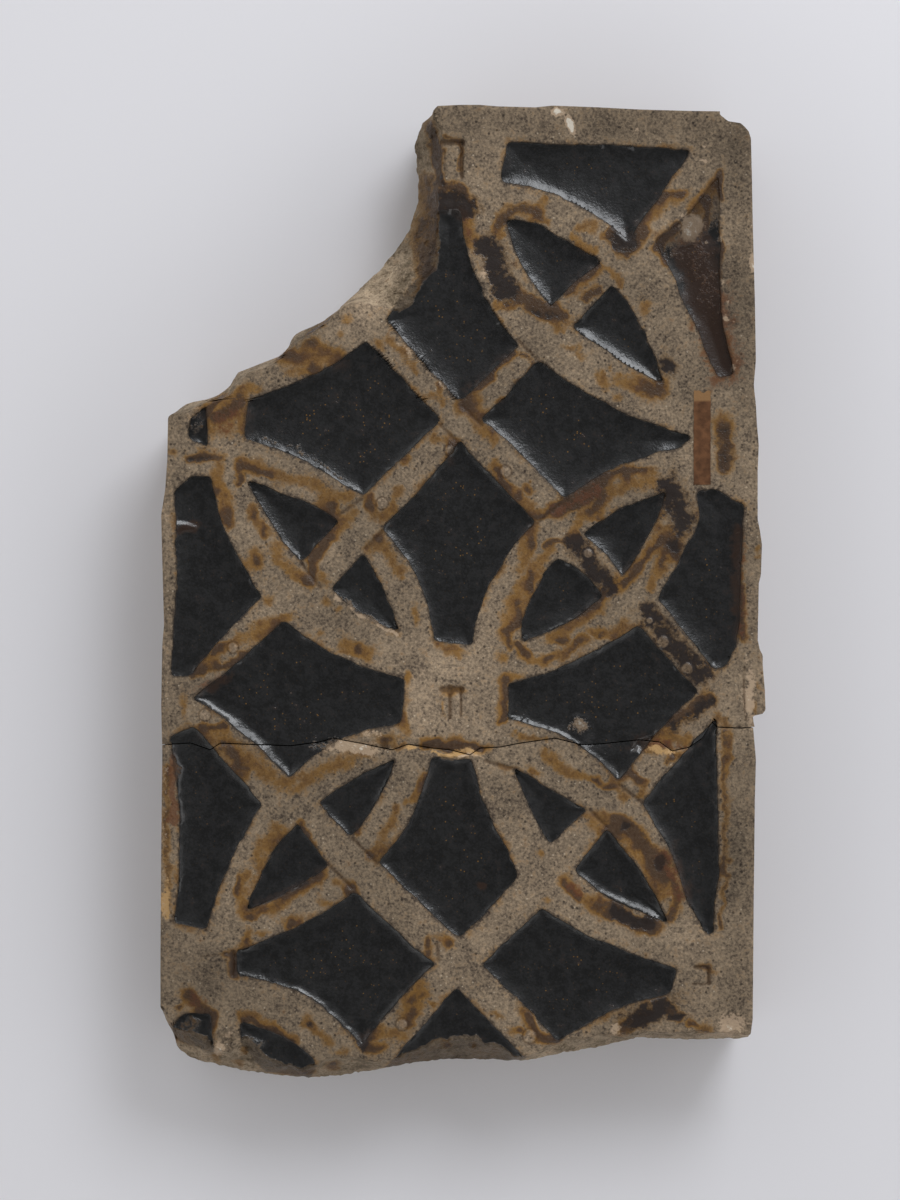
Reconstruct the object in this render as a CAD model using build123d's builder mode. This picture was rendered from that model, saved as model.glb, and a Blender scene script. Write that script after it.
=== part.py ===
import os
from math import cos, radians, sin, tan

from build123d import *

# Relief floor tile, broken across and worn, face up. Millimetres.
# The origin is on the underside, below the centre of the interlace. +X runs across the tile,
# +Y runs along it towards its one sound end, and +Z points out of the decorated face.

# The fired slab
tile_width = 166.5
half_length = 166.0
tile_thickness = 38.0
side_bevel = 2.0
corner_chip = 8.0
break_depth = 12.0

# The interlace: rings on a rectangular grid, crossed by straight rails
pitch_across = 72.0
pitch_along = 75.0
ring_radius = 66.0
ring_band = 11.0
rail_band = 8.6
rail_run_out = 13.0
relief_depth = 2.6
wall_draft = 20.0

# The square pads that stand where four rings meet
pad_width = 29.0
pad_length = 32.0
stamp_depth = 0.8
stamp_width = 7.0
stamp_length = 9.0
stamp_line = 1.3

# The lap grooves that show which band passes over
groove_width = 0.8
groove_depth = 0.9

# The crack that runs through the slab, and the slip of paper on the face
crack_gap = 0.3
label_width = 5.0
label_length = 27.0
label_thickness = 0.25
label_inset = 14.75

foot_growth = 2 * relief_depth * tan(radians(wall_draft))
left = -tile_width / 2
right = tile_width / 2
top = half_length
face_z = tile_thickness
shoulder_z = tile_thickness - break_depth
floor_z = tile_thickness - relief_depth

# Each row is a corner of the outline at the shoulder, then the corner of the face above it.
# Along a sound edge the two are close, with a worn arris. Along a break they lie further apart.
sound_end = [
    ((-6.5, top), (-5.5, top - 2.0)),
    ((28.5, top - 0.2), (28.5, top - 0.7)),
    ((right - corner_chip - 1.8, top - 2.0), (right - corner_chip - 1.8, top - 2.5)),
    ((right - 2.8, top - corner_chip + 2.0), (right - 3.2, top - corner_chip + 1.5)),
    ((right - 1.0, top - corner_chip - 1.5), (right - 1.5, top - corner_chip - 1.5)),
]
right_edge = [
    ((right, 117.0), (right - 0.4, 117.0)),
    ((right + 1.2, 71.0), (right + 0.6, 71.0)),
    ((right + 0.6, 55.0), (right + 0.2, 55.0)),
    ((right + 2.0, 41.0), (right + 0.8, 41.0)),
    ((right + 0.6, 20.0), (right + 0.2, 20.0)),
    ((right + 2.8, 2.0), (right - 0.4, 1.0)),
    ((right + 3.2, -5.5), (right - 1.5, -6.0)),
    ((right - 0.4, -8.0), (right - 0.8, -8.0)),
    ((right, -57.0), (right - 0.4, -57.0)),
    ((right - 0.6, -90.0), (right - 1.0, -89.0)),
    ((right - 1.5, -96.0), (right - 2.0, -93.0)),
]
lower_break = [
    ((65.5, -97.0), (65.5, -94.0)),
    ((51.0, -96.3), (51.5, -93.5)),
    ((39.5, -99.2), (39.5, -94.5)),
    ((24.5, -102.0), (25.0, -98.0)),
    ((13.0, -103.0), (13.5, -99.5)),
    ((-2.0, -102.5), (-2.0, -96.0)),
    ((-15.0, -104.0), (-16.0, -100.5)),
    ((-30.0, -107.0), (-30.0, -101.0)),
    ((-42.5, -107.8), (-42.5, -102.0)),
    ((-59.0, -106.3), (-57.5, -99.0)),
    ((-70.5, -103.5), (-69.0, -97.0)),
    ((-79.0, -99.5), (-76.5, -93.5)),
    ((-80.2, -95.0), (-78.5, -92.0)),
]
left_edge = [
    ((left, -88.0), (left + 0.8, -87.5)),
    ((left, -58.0), (left + 0.4, -58.0)),
    ((left + 0.5, -16.0), (left + 0.9, -16.0)),
    ((left, 7.5), (left + 0.4, 7.5)),
    ((left + 1.0, 27.0), (left + 1.4, 27.0)),
    ((left + 0.3, 51.0), (left + 0.7, 51.0)),
    ((left + 1.7, top - 104.0), (left + 2.1, top - 104.0)),
    ((left + 2.2, top - 88.0), (left + 2.7, top - 88.5)),
]
upper_break = [
    ((left + 5.5, top - 84.2), (left + 7.0, top - 86.5)),
    ((left + 16.5, top - 81.0), (left + 18.5, top - 82.5)),
    ((left + 21.5, top - 74.5), (left + 24.5, top - 75.5)),
    ((left + 34.0, top - 70.0), (left + 34.8, top - 71.0)),
    ((left + 37.0, top - 64.0), (left + 39.5, top - 65.5)),
    ((left + 51.0, top - 56.0), (left + 51.8, top - 57.0)),
    ((left + 62.3, top - 44.3), (left + 65.5, top - 57.5)),
    ((left + 69.3, top - 34.5), (left + 76.5, top - 46.5)),
    ((left + 72.2, top - 25.5), (left + 78.2, top - 31.0)),
    ((left + 71.3, top - 11.0), (left + 79.2, top - 15.5)),
    ((left + 73.2, top - 4.0), (left + 78.6, top - 6.0)),
]
outline = sound_end + right_edge + lower_break + left_edge + upper_break
shoulder_outline = [shoulder for shoulder, face in outline]
face_outline = [face for shoulder, face in outline]

# The sides lean in towards the underside, so that neighbouring tiles meet at the face
lean_across = 1 - 2 * side_bevel / tile_width
lean_along = 1 - side_bevel / half_length
underside_outline = [(x * lean_across, y * lean_along) for x, y in shoulder_outline]

# Ring centres, one pitch from the tile's own centre. Rings beyond the edge show only in part.
ring_centres = {
    "top": (0, pitch_along),
    "bottom": (0, -pitch_along),
    "left": (-pitch_across, 0),
    "right": (pitch_across, 0),
    "upper_left": (-pitch_across, 2 * pitch_along),
    "upper_right": (pitch_across, 2 * pitch_along),
    "lower_left": (-pitch_across, -2 * pitch_along),
    "lower_right": (pitch_across, -2 * pitch_along),
}

# Quarter rings: the ring, its first angle, its sweep, then how far the potter's cut drifts from
# the grid in centre, radius and width.
quarter_rings = [
    ("top", 192, 76, (5.0, 5.0), 6.0, 1.6),
    ("top", 268, 87, (2.0, -2.5), -1.5, -0.4),
    ("top", 0, 92, (4.0, 4.0), -5.0, 1.0),
    ("top", 145, 48, (0.0, 0.0), -1.5, -1.2),
    ("left", 0, 96, (-1.5, 5.5), -3.0, -1.8),
    ("left", 266, 91, (-7.5, 2.0), 4.0, -1.0),
    ("right", 88, 90, (-2.0, 3.5), -5.5, 0.0),
    ("right", 180, 96, (-2.0, -9.0), -5.0, 0.8),
    ("bottom", 92, 88, (-0.5, 0.0), -1.0, -1.0),
    ("bottom", 6, 76, (-8.0, -7.0), 7.5, 0.3),
    ("bottom", 178, 47, (0.0, 0.0), 0.0, -2.0),
    ("upper_right", 184, 84, (4.0, 1.5), 5.5, 1.3),
    ("upper_left", 272, 40, (0.0, 0.0), -4.3, 0.0),
    ("lower_left", 45, 55, (0.0, 0.0), 0.0, 1.0),
    ("lower_right", 95, 45, (0.0, 0.0), -1.5, -3.0),
]

# Straight rails from one ring centre to the next and a little past it, with the drift of both
# ends along the tile
rails = [
    ("top", "left", 0.0, 5.0),
    ("top", "right", 4.0, 2.0),
    ("top", "upper_right", 1.0, 1.0),
    ("top", "upper_left", 2.5, 7.0),
    ("bottom", "left", 0.0, -5.0),
    ("bottom", "right", 0.0, 0.0),
    ("bottom", "lower_left", 0.5, 0.5),
    ("bottom", "lower_right", 0.0, 1.0),
]

# Pads where the rings meet: centre, width, length
pads = [
    ((-0.5, -1.0), pad_width, pad_length),
    ((-2.0, 2 * pitch_along + 2.5), pad_width, pad_length),
    ((pitch_across + 6.0, pitch_along - 1.5), pad_width, pad_length),
    ((-pitch_across - 2.5, pitch_along - 9.0), pad_width - 4.0, 8.0),
    ((-pitch_across - 3.0, -pitch_along - 1.5), pad_width, pad_length - 9.0),
    ((pitch_across + 4.0, -pitch_along - 6.0), pad_width, pad_length - 2.0),
]

# The sunk ground, inside a plain margin that the maker left uneven
ground_outline = [
    (8.0, top - 10.5),
    (66.0, top - 12.0),
    (right - 10.0, top - 19.0),
    (right - 9.0, 106.0),
    (right - 5.5, 90.0),
    (right - 3.0, 50.0),
    (right - 5.5, 9.0),
    (right - 10.0, -5.0),
    (right - 10.0, -50.0),
    (right - 11.0, -72.0),
    (58.0, -130.0),
    (left + 4.0, -130.0),
    (left + 3.5, -64.0),
    (left + 5.0, -43.0),
    (left + 2.5, -11.0),
    (left + 3.5, 42.0),
    (left + 4.0, 60.0),
    (left + 9.0, 79.0),
    (left + 14.0, 90.0),
    (-40.0, 125.0),
    (-4.5, top - 10.5),
]

# Short lap grooves where one band passes under another: middle, angle and length
lap_grooves = [
    ((-2.5, 74.0), 135, 7.0),
    ((4.0, 79.0), 135, 8.0),
    ((20.0, 97.0), 135, 9.0),
    ((25.5, 51.5), 40, 9.0),
    ((-30.5, 53.0), 35, 9.0),
    ((-23.5, 44.0), 45, 6.5),
    ((-41.0, 34.0), 128, 9.0),
    ((12.0, -19.0), 165, 9.0),
    ((39.5, -34.0), 135, 7.0),
    ((-5.5, -71.5), 95, 5.0),
    ((-26.0, -43.0), 135, 10.0),
    ((-33.0, -50.0), 135, 10.0),
    ((48.5, -27.0), 142, 8.0),
]

# Small stamped mark of three lines, pressed into a pad
stamps = [(-1.0, -1.5), (-1.5, 2 * pitch_along + 1.0), (pitch_across - 4.0, -pitch_along - 3.0)]

# The crack, from the left side to the right side
crack_line = [
    (left - 8.0, -13.5),
    (-69.5, -15.0),
    (-55.5, -13.5),
    (-41.5, -13.5),
    (-35.0, -11.5),
    (-18.5, -15.0),
    (-7.0, -14.0),
    (3.5, -16.0),
    (6.5, -14.5),
    (27.5, -11.5),
    (35.0, -13.5),
    (51.0, -12.0),
    (60.0, -15.0),
    (68.5, -11.5),
    (71.5, -7.0),
    (79.0, -8.5),
    (right + 8.0, -6.5),
]
label_centre = (right - label_inset, pitch_along - 2.5)


def band_section(width):
    """Section of a raised band: a level top, with walls that spread to the sunk ground."""
    base = width + foot_growth
    return Trapezoid(base, relief_depth, 90 - wall_draft, align=(Align.CENTER, Align.MIN))


def ring_plane(ring, first, drift):
    """Upright plane through a ring's centre, turned to the angle where the quarter starts."""
    x, y = ring_centres[ring]
    across, along = cos(radians(first)), sin(radians(first))
    centre = (x + drift[0], y + drift[1], floor_z)
    return Plane(origin=centre, x_dir=(across, along, 0), z_dir=(along, -across, 0))


def rail_plane(start, run):
    """Upright plane square to a rail, at the end where the rail starts."""
    return Plane(origin=start, x_dir=(-run.Y, run.X, 0), z_dir=run)


# The slab before it broke, still plain on its face
with BuildPart() as slab:
    for height, corners in (
        (0, underside_outline),
        (shoulder_z, shoulder_outline),
        (face_z, face_outline),
    ):
        with BuildSketch(Plane.XY.offset(height)):
            with BuildLine():
                Polyline(corners, close=True)
            make_face()
    loft(ruled=True)

# The bands stand on the sunk ground: rings turned about their centres, rails run straight
with BuildPart() as interlace:
    for ring, first, sweep, drift, radius_drift, width_drift in quarter_rings:
        start = ring_plane(ring, first, drift)
        with BuildSketch(start):
            with Locations((ring_radius + radius_drift, 0)):
                band_section(ring_band + width_drift)
        revolve(axis=Axis(start.origin, (0, 0, 1)), revolution_arc=sweep)
    for first_ring, last_ring, first_drift, last_drift in rails:
        (x0, y0), (x1, y1) = ring_centres[first_ring], ring_centres[last_ring]
        start = Vector(x0, y0 + first_drift, floor_z)
        run = Vector(x1, y1 + last_drift, floor_z) - start
        with BuildSketch(rail_plane(start, run)):
            band_section(rail_band)
        extrude(amount=run.length + rail_run_out)
    for centre, width, length in pads:
        with BuildSketch(Plane.XY.offset(floor_z)):
            with Locations(centre):
                Rectangle(width + foot_growth, length + foot_growth)
        extrude(amount=relief_depth, taper=wall_draft)
    add(slab.part, mode=Mode.INTERSECT)

# The whole tile: its ground sunk, the interlace standing in it, then the marks cut into that
with BuildPart() as tile:
    add(slab.part)
    with BuildSketch(Plane.XY.offset(face_z)):
        with BuildLine():
            Polyline(ground_outline, close=True)
        make_face()
    extrude(amount=-relief_depth, taper=wall_draft, mode=Mode.SUBTRACT)
    add(interlace.part)

    # Lap grooves
    with BuildSketch(Plane.XY.offset(face_z)):
        for centre, angle, length in lap_grooves:
            with Locations(Location(centre, angle)):
                SlotOverall(length, groove_width)
    extrude(amount=-groove_depth, mode=Mode.SUBTRACT)

    # Stamped marks: a bar over two legs
    with BuildSketch(Plane.XY.offset(face_z)):
        with Locations(*stamps):
            with Locations((0, stamp_length / 2 - stamp_line / 2)):
                Rectangle(stamp_width, stamp_line)
            with GridLocations(stamp_width - stamp_line, 0, 2, 1):
                Rectangle(stamp_line, stamp_length)
    extrude(amount=-stamp_depth, mode=Mode.SUBTRACT)

# The fragment above the crack
above_crack = crack_line + [(right + 8.0, top + 10.0), (left - 8.0, top + 10.0)]
with BuildPart() as upper_fragment:
    add(tile.part)
    with BuildSketch(Plane.XY):
        with BuildLine():
            Polyline(above_crack, close=True)
        make_face()
    extrude(amount=tile_thickness, mode=Mode.INTERSECT)

# The fragment below it, one crack gap away
lower_lip = [(x, y - crack_gap) for x, y in crack_line]
below_crack = lower_lip + [(right + 8.0, -top), (left - 8.0, -top)]
with BuildPart() as lower_fragment:
    add(tile.part)
    with BuildSketch(Plane.XY):
        with BuildLine():
            Polyline(below_crack, close=True)
        make_face()
    extrude(amount=tile_thickness, mode=Mode.INTERSECT)

# The slip of paper pasted on the margin
with BuildPart() as paper_label:
    with BuildSketch(Plane.XY.offset(face_z)):
        with Locations(label_centre):
            Rectangle(label_width, label_length)
    extrude(amount=label_thickness)

upper_fragment.part.label = "upper_fragment"
lower_fragment.part.label = "lower_fragment"
paper_label.part.label = "paper_label"

os.makedirs("parts", exist_ok=True)
export_step(upper_fragment.part, "parts/upper_fragment.step")
export_step(lower_fragment.part, "parts/lower_fragment.step")
export_step(paper_label.part, "parts/paper_label.step")
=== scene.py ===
"""Looks of a broken relief floor tile: two glazed clay fragments and a slip of paper.

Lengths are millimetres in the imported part's frame, and turn to metres when a mesh is made.
"""

import logging
import math
from dataclasses import dataclass
from enum import Enum
from functools import partial, reduce

import bpy
import numpy as np
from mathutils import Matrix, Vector


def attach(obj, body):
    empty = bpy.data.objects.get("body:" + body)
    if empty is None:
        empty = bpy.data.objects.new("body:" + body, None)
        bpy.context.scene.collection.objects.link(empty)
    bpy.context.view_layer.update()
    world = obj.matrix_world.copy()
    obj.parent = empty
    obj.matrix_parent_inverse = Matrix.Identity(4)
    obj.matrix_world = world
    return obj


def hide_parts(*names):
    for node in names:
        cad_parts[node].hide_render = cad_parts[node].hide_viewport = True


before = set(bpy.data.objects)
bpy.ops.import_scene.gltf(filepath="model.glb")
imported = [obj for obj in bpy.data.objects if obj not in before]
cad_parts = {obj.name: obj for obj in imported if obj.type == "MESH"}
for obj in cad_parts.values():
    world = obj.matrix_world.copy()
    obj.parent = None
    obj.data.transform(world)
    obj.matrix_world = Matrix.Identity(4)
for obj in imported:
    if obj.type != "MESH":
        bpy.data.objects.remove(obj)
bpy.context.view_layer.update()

LOG = logging.getLogger("relief_tile")
METRE = 0.001
Array = np.ndarray
Point = tuple[float, float]
Corner = tuple[float, float, float]

# The slab, as the solids have it
TILE_WIDTH = 166.5
FACE_Z = 38.0
WORN_FACE_Z = 37.88
BREAK_DEPTH = 12.0
SIDE_LEAN = 2.0
CRACK_GAP = 0.3

# The section of a sunk panel, from the arris of the band down to the glaze floor
ARRIS_ROUND = 0.55
ARRIS_DROP = 0.14
WALL_RUN = 0.35
WALL_DROP = 1.5
GLAZE_DEPTH = 2.5
MENISCUS = 2.9

# A rim lower than this under the face belongs to a break
BREAK_RIM_DROP = 4.0
# A mark fades as the exponential of minus its fall times its radius to this power
MARK_FALL = 0.42
MARK_POWER = 2.5
# Smooth noise is read from a square lattice of this many random heights a side
LATTICE = 256


class Tint(Enum):
    """What a mark on the face is. The value names the vertex attribute that carries it."""

    SPILL = "spill"
    THIN = "thin"
    BROWN = "brown"
    AMBER = "amber"
    RUST = "rust"
    OCHRE = "ochre"
    # Pale clay, and also painted highlights along lit edges
    PALE = "pale"


class Flank(Enum):
    """How a stretch of the side wall came about: its lean and its roughness, in millimetres."""

    SOUND = (SIDE_LEAN, 0.15)
    BROKEN = (0.6, 2.4)
    CRACKED = (0.0, 0.12)


class Lumps(Enum):
    """A kind of unevenness: the size and height of its lumps, its seed and its number of layers.

    Each layer after the first has lumps half as large and half as high.
    """

    DRIFT_X = (7.0, 0.34, 11, 3)
    DRIFT_X_FINE = (1.8, 0.119, 15, 1)
    DRIFT_Y = (7.0, 0.34, 21, 3)
    DRIFT_Y_FINE = (1.8, 0.119, 25, 1)
    FACE = (14.0, 0.10, 31, 1)
    CREEP = (12.0, 1.0, 35, 1)
    CLAY = (1.6, 0.05, 41, 3)
    GLAZE = (7.0, 0.10, 45, 1)
    FLAKE = (2.2, 0.25, 51, 3)
    LOOSE = (9.0, 1.0, 61, 1)
    TORN = (6.0, 1.3, 71, 1)
    TORN_LUMP = (3.2, 1.0, 81, 3)
    TORN_GRAIN = (1.1, 0.4, 85, 3)
    WEAR = (6.0, 0.5, 91, 1)
    WALL = (9.0, 0.4, 101, 3)
    WALL_GRAIN = (2.6, 0.2, 105, 3)
    STAIN_X = (3.4, 0.8, 121, 3)
    STAIN_Y = (3.4, 0.8, 127, 3)
    TONE = (22.0, 0.08, 131, 3)
    PAPER_EDGE = (2.4, 0.10, 141, 1)
    PAPER_TEAR = (1.4, 0.5, 151, 3)
    PAPER_CURL = (3.0, 0.3, 161, 1)
    PAPER_FACE = (2.0, 0.02, 171, 3)
    SPLINTER = (2.4, 0.5, 181, 3)
    BREAK_X = (2.6, 0.6, 191, 3)
    BREAK_Y = (2.6, 0.6, 197, 3)

    def at(self, x: Array, y: Array) -> Array:
        """The height of these lumps at each place."""
        size, height, seed, layers = self.value
        return height * sum(smooth_noise(x, y, size / 2**k, seed + k) * 0.5**k for k in range(layers))


@dataclass(frozen=True)
class Panel:
    """A sunk field of glaze. Each corner is x, y and how far the side after it bows outwards."""

    name: str
    corners: tuple[Corner, ...]

    def line(self, steps: int = 24, spacing: float = 0.6, softness: int = 5) -> Array:
        """Walks the outline once, with its corners worn round.

        A side is its chord plus a parabola, 4t(1 - t) times its bow, to the left of the walk. The
        line is then spaced evenly, and each point becomes the mean of its neighbours, which rounds
        the corners and leaves the sides.

        Args:
            steps: points on each side before the line is spaced evenly.
            spacing: gap between the points kept.
            softness: how many points each mean takes in.

        Returns:
            The outline's points, one row each.
        """
        rows = np.array(self.corners)
        start, bow = rows[:, :2], rows[:, 2]
        chord = np.roll(start, -1, axis=0) - start
        left = np.stack((-chord[:, 1], chord[:, 0]), axis=1)
        left /= np.hypot(chord[:, 0], chord[:, 1])[:, None]
        t = np.linspace(0.0, 1.0, steps, endpoint=False)[None, :, None]
        points = start[:, None] + t * chord[:, None] + 4 * t * (1 - t) * bow[:, None, None] * left[:, None]
        ring = np.concatenate((points.reshape(-1, 2), start[:1]))
        way = np.concatenate(([0.0], np.cumsum(np.hypot(*np.diff(ring, axis=0).T))))
        even = np.linspace(0.0, way[-1], int(way[-1] / spacing), endpoint=False)
        spaced = np.stack([np.interp(even, way, ring[:, k]) for k in (0, 1)], axis=1)
        near = range(-(softness // 2), softness // 2 + 1)
        return sum(np.roll(spaced, k, axis=0) for k in near) / softness


@dataclass(frozen=True)
class Oval:
    """An oval mark on the face: its middle, its two diameters, its turn in degrees and its strength."""

    x: float
    y: float
    length: float
    width: float
    turn: float = 0.0
    strength: float = 1.0

    def radius(self, x: Array, y: Array) -> Array:
        """Distance from the middle, as a share of the oval's own half diameters."""
        lengthwise, across = turned(x - self.x, y - self.y, self.turn)
        return np.hypot(lengthwise / (self.length / 2), across / (self.width / 2))


@dataclass(frozen=True)
class Streak:
    """A stain drawn along a line of points: its line, its width and its strength."""

    points: tuple[Point, ...]
    width: float = 2.4
    strength: float = 1.0

    def radius(self, x: Array, y: Array) -> Array:
        """Distance from the line, as a share of half the width."""
        return distance_to_line(x, y, np.array(self.points), closed=False)[0] / (self.width / 2)


@dataclass(frozen=True)
class Cut:
    """A straight cut in the clay, such as a lap line or a stamped stroke."""

    x: float
    y: float
    turn: float
    length: float
    width: float = 1.5
    depth: float = 0.5
    end_fade: float = 0.5

    def drop(self, x: Array, y: Array) -> Array:
        """Depth of the cut: a bell across its width, cut off past its two ends."""
        lengthwise, across = turned(x - self.x, y - self.y, self.turn)
        past = np.maximum(np.abs(lengthwise) - self.length / 2, 0.0)
        return self.depth * np.exp(-((across / (self.width / 2)) ** 2) - (past / self.end_fade) ** 2)


def ovals(*rows: tuple[float, ...]) -> tuple[Oval, ...]:
    """Makes an oval of each row: x, y, length and width, then its turn and its strength if need be."""
    return tuple(Oval(*row) for row in rows)


def streaks(*rows: tuple[Point | float, ...]) -> tuple[Streak, ...]:
    """Makes a streak of full strength from each row: its points, then its width."""
    return tuple(Streak(row[:-1], row[-1]) for row in rows)


# The glaze fields between the bands, from the sound end to the break
PANELS = (
    Panel("head_centre", ((13.6, 155.4, 0.4), (65.7, 153.4, 0.0), (47.7, 127.7, -3.0), (12.2, 144.5, 0.0))),
    Panel("head_right", ((73.2, 147.0, 0.0), (74.1, 104.2, 0.0), (77.7, 89.9, 0.0), (72.4, 89.3, -0.5),
                         (55.3, 128.0, -1.4))),
    Panel("upper_leaf_left", ((13.3, 134.1, 0.0), (23.1, 133.0, 0.0), (41.0, 121.8, -1.1),
                              (26.2, 109.2, 1.9))),
    Panel("upper_leaf_right", ((43.0, 115.9, 2.0), (57.8, 87.6, 1.1), (32.1, 103.9, 0.0))),
    Panel("head_left", ((-6.0, 136.4, 0.0), (1.0, 136.4, -3.5), (17.5, 98.6, 0.0), (0.7, 82.6, 0.4),
                        (-20.0, 105.6, 0.0), (-17.5, 110.3, 0.0), (-9.4, 119.0, 0.0), (-6.6, 128.0, 0.0))),
    Panel("shoulder_right", ((6.6, 77.6, 0.0), (22.5, 94.4, -2.5), (65.9, 73.1, 0.0), (62.6, 69.4, -2.3),
                             (29.3, 55.2, -1.1))),
    Panel("shoulder_left", ((-60.1, 72.5, 0.0), (-58.9, 83.7, -2.0), (-25.3, 100.2, 0.0), (-4.6, 77.6, 0.0),
                            (-27.0, 55.7, -2.0))),
    Panel("left_border_chip", ((-74.9, 78.4, 0.0), (-70.4, 81.8, 0.0), (-69.9, 70.0, 0.0),
                               (-75.7, 72.5, 0.0))),
    Panel("left_border_upper", ((-79.7, 58.0, 0.0), (-74.9, 61.9, 0.0), (-69.0, 61.9, -2.2),
                                (-54.2, 27.7, -0.8), (-74.6, 5.9, 0.0), (-80.8, 5.9, -1.3))),
    Panel("heart_upper", ((0.7, 72.0, 0.0), (22.3, 49.0, -3.3), (4.1, 14.6, 0.0), (-6.6, 15.4, -2.9),
                          (-21.4, 47.3, -0.6))),
    Panel("left_leaf_outer", ((-59.2, 61.0, 0.9), (-32.9, 49.8, 0.0), (-44.1, 37.5, 1.1))),
    Panel("left_leaf_inner", ((-26.5, 40.9, 1.0), (-16.1, 17.9, 1.3), (-36.0, 30.5, 0.0))),
    Panel("right_leaf_outer", ((34.9, 45.4, 1.7), (58.9, 58.0, 1.2), (46.1, 33.6, -0.8))),
    Panel("right_leaf_inner", ((27.9, 38.9, 1.6), (40.7, 28.3, 1.4), (17.5, 15.1, 2.3))),
    Panel("right_border_upper", ((66.8, 57.7, 0.0), (72.4, 58.5, 0.0), (80.5, 53.8, 0.0), (78.5, 14.6, 0.0),
                                 (75.7, 8.4, 0.0), (71.3, 8.1, -0.5), (55.9, 27.2, 0.0), (67.6, 49.0, 0.0))),
    Panel("waist_left", ((-74.3, 0.0, -0.6), (-48.6, 21.6, -2.2), (-14.7, 5.0, 0.0), (-15.5, -7.6, -3.6),
                         (-46.9, -23.0, -1.1))),
    Panel("waist_right", ((13.9, 3.6, -2.1), (50.3, 20.7, 0.0), (67.6, 1.7, -0.7), (45.2, -23.5, -3.3),
                          (14.1, -6.4, 0.0))),
    Panel("left_border_lower", ((-81.1, -11.2, 0.0), (-74.1, -7.8, 0.0), (-54.2, -29.7, -2.1),
                                (-69.9, -65.2, 0.0), (-79.9, -63.3, -2.4))),
    Panel("lower_leaf_left", ((-39.3, -29.7, 0.8), (-16.9, -16.8, 1.5), (-30.1, -39.2, 0.0))),
    Panel("lower_leaf_outer", ((-44.7, -35.0, 0.0), (-36.3, -47.3, 1.2), (-59.2, -59.6, 1.8))),
    Panel("heart_lower", ((-7.4, -16.8, 0.0), (3.8, -17.1, -1.1), (17.2, -49.6, 0.8), (-0.1, -68.0, 0.0),
                          (-22.3, -46.2, -2.2))),
    Panel("lower_leaf_right", ((15.8, -19.6, 0.0), (36.5, -31.4, 0.0), (25.6, -41.7, 0.7))),
    Panel("lower_leaf_far", ((41.9, -36.7, 1.4), (58.9, -63.0, 1.9), (32.3, -48.7, 0.0))),
    Panel("right_border_lower", ((72.7, -4.8, 0.0), (73.2, -49.6, 0.0), (71.8, -66.6, 0.0),
                                 (69.6, -66.4, 0.0), (64.0, -56.3, -1.4), (51.4, -29.7, 0.0))),
    Panel("foot_left", ((-61.5, -70.8, -1.4), (-28.7, -54.3, -0.4), (-6.0, -74.8, -1.0),
                        (-27.0, -98.3, -4.4), (-62.0, -78.1, 0.0))),
    Panel("foot_right", ((6.3, -75.0, 0.0), (23.4, -58.8, -1.9), (61.5, -75.6, 0.0), (59.8, -82.9, -1.6),
                         (27.9, -96.6, -0.7))),
    Panel("break_centre", ((-0.1, -81.2, 0.0), (19.7, -102.2, 0.0), (3.5, -105.8, 0.0),
                           (-20.3, -105.0, 0.6))),
    Panel("break_corner", ((-76.0, -88.2, 0.0), (-68.5, -88.5, 0.0), (-68.7, -100.2, 0.0),
                           (-81.9, -96.0, 0.0), (-78.8, -90.4, 0.0))),
    Panel("break_left", ((-60.6, -90.7, 1.8), (-39.6, -101.9, 0.0), (-41.9, -107.2, 0.0),
                         (-54.7, -105.0, 0.0), (-60.9, -96.6, 0.0))),
)

# The outline, as knots to go between in straight runs. Sides are read by y, ends and crack by x.
LEFT_SIDE = (
    (-88.0, -83.2), (-71.7, -83.2), (-42.8, -83.0), (-16.0, -82.7), (-2.2, -83.0), (14.6, -82.7),
    (20.2, -82.2), (31.4, -82.5), (38.4, -82.7), (51.0, -83.0), (58.0, -81.9), (66.4, -81.3),
    (78.1, -81.1), (79.5, -80.5), (81.8, -77.7), (82.9, -76.0), (84.0, -69.9), (85.1, -67.9),
    (87.6, -64.3), (91.3, -62.3), (92.3, -59.5), (94.4, -54.7), (95.8, -50.8), (97.2, -48.9),
    (100.0, -47.2), (101.9, -46.1), (103.3, -44.1), (104.4, -41.3), (106.1, -37.9), (108.6, -34.3),
    (112.6, -30.1), (116.8, -25.9), (121.8, -20.9), (128.0, -16.1), (131.3, -13.9), (134.1, -13.0),
    (139.7, -11.1), (144.8, -11.3), (155.1, -12.2), (158.8, -11.3), (161.8, -10.2), (163.5, -7.4),
    (165.8, -5.7),
)

RIGHT_SIDE = (
    (-96.0, 81.9), (-90.2, 82.7), (-56.3, 83.0), (-28.8, 83.3), (-17.6, 83.6), (-7.0, 82.7),
    (-6.4, 83.3), (-5.9, 85.3), (-4.2, 86.3), (2.0, 86.1), (9.0, 85.5), (11.8, 85.5), (13.2, 84.7),
    (16.0, 84.1), (31.9, 84.4), (34.2, 85.0), (42.6, 85.3), (46.8, 84.7), (49.6, 84.1), (63.6, 84.1),
    (70.6, 84.4), (76.2, 83.9), (81.8, 83.6), (87.4, 83.0), (94.4, 83.6), (111.2, 83.3), (133.6, 82.7),
    (144.8, 82.5), (156.5, 82.2), (158.5, 81.6), (159.9, 80.5), (161.3, 79.1), (161.8, 75.7),
    (163.0, 74.6), (164.1, 73.5),
)

SOUND_END = (
    (-5.7, 165.6), (0.7, 165.9), (6.3, 165.9), (11.1, 165.5), (21.7, 165.2), (26.7, 165.7),
    (39.9, 165.2), (51.1, 164.6), (65.1, 164.2), (74.0, 164.1),
)

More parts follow.
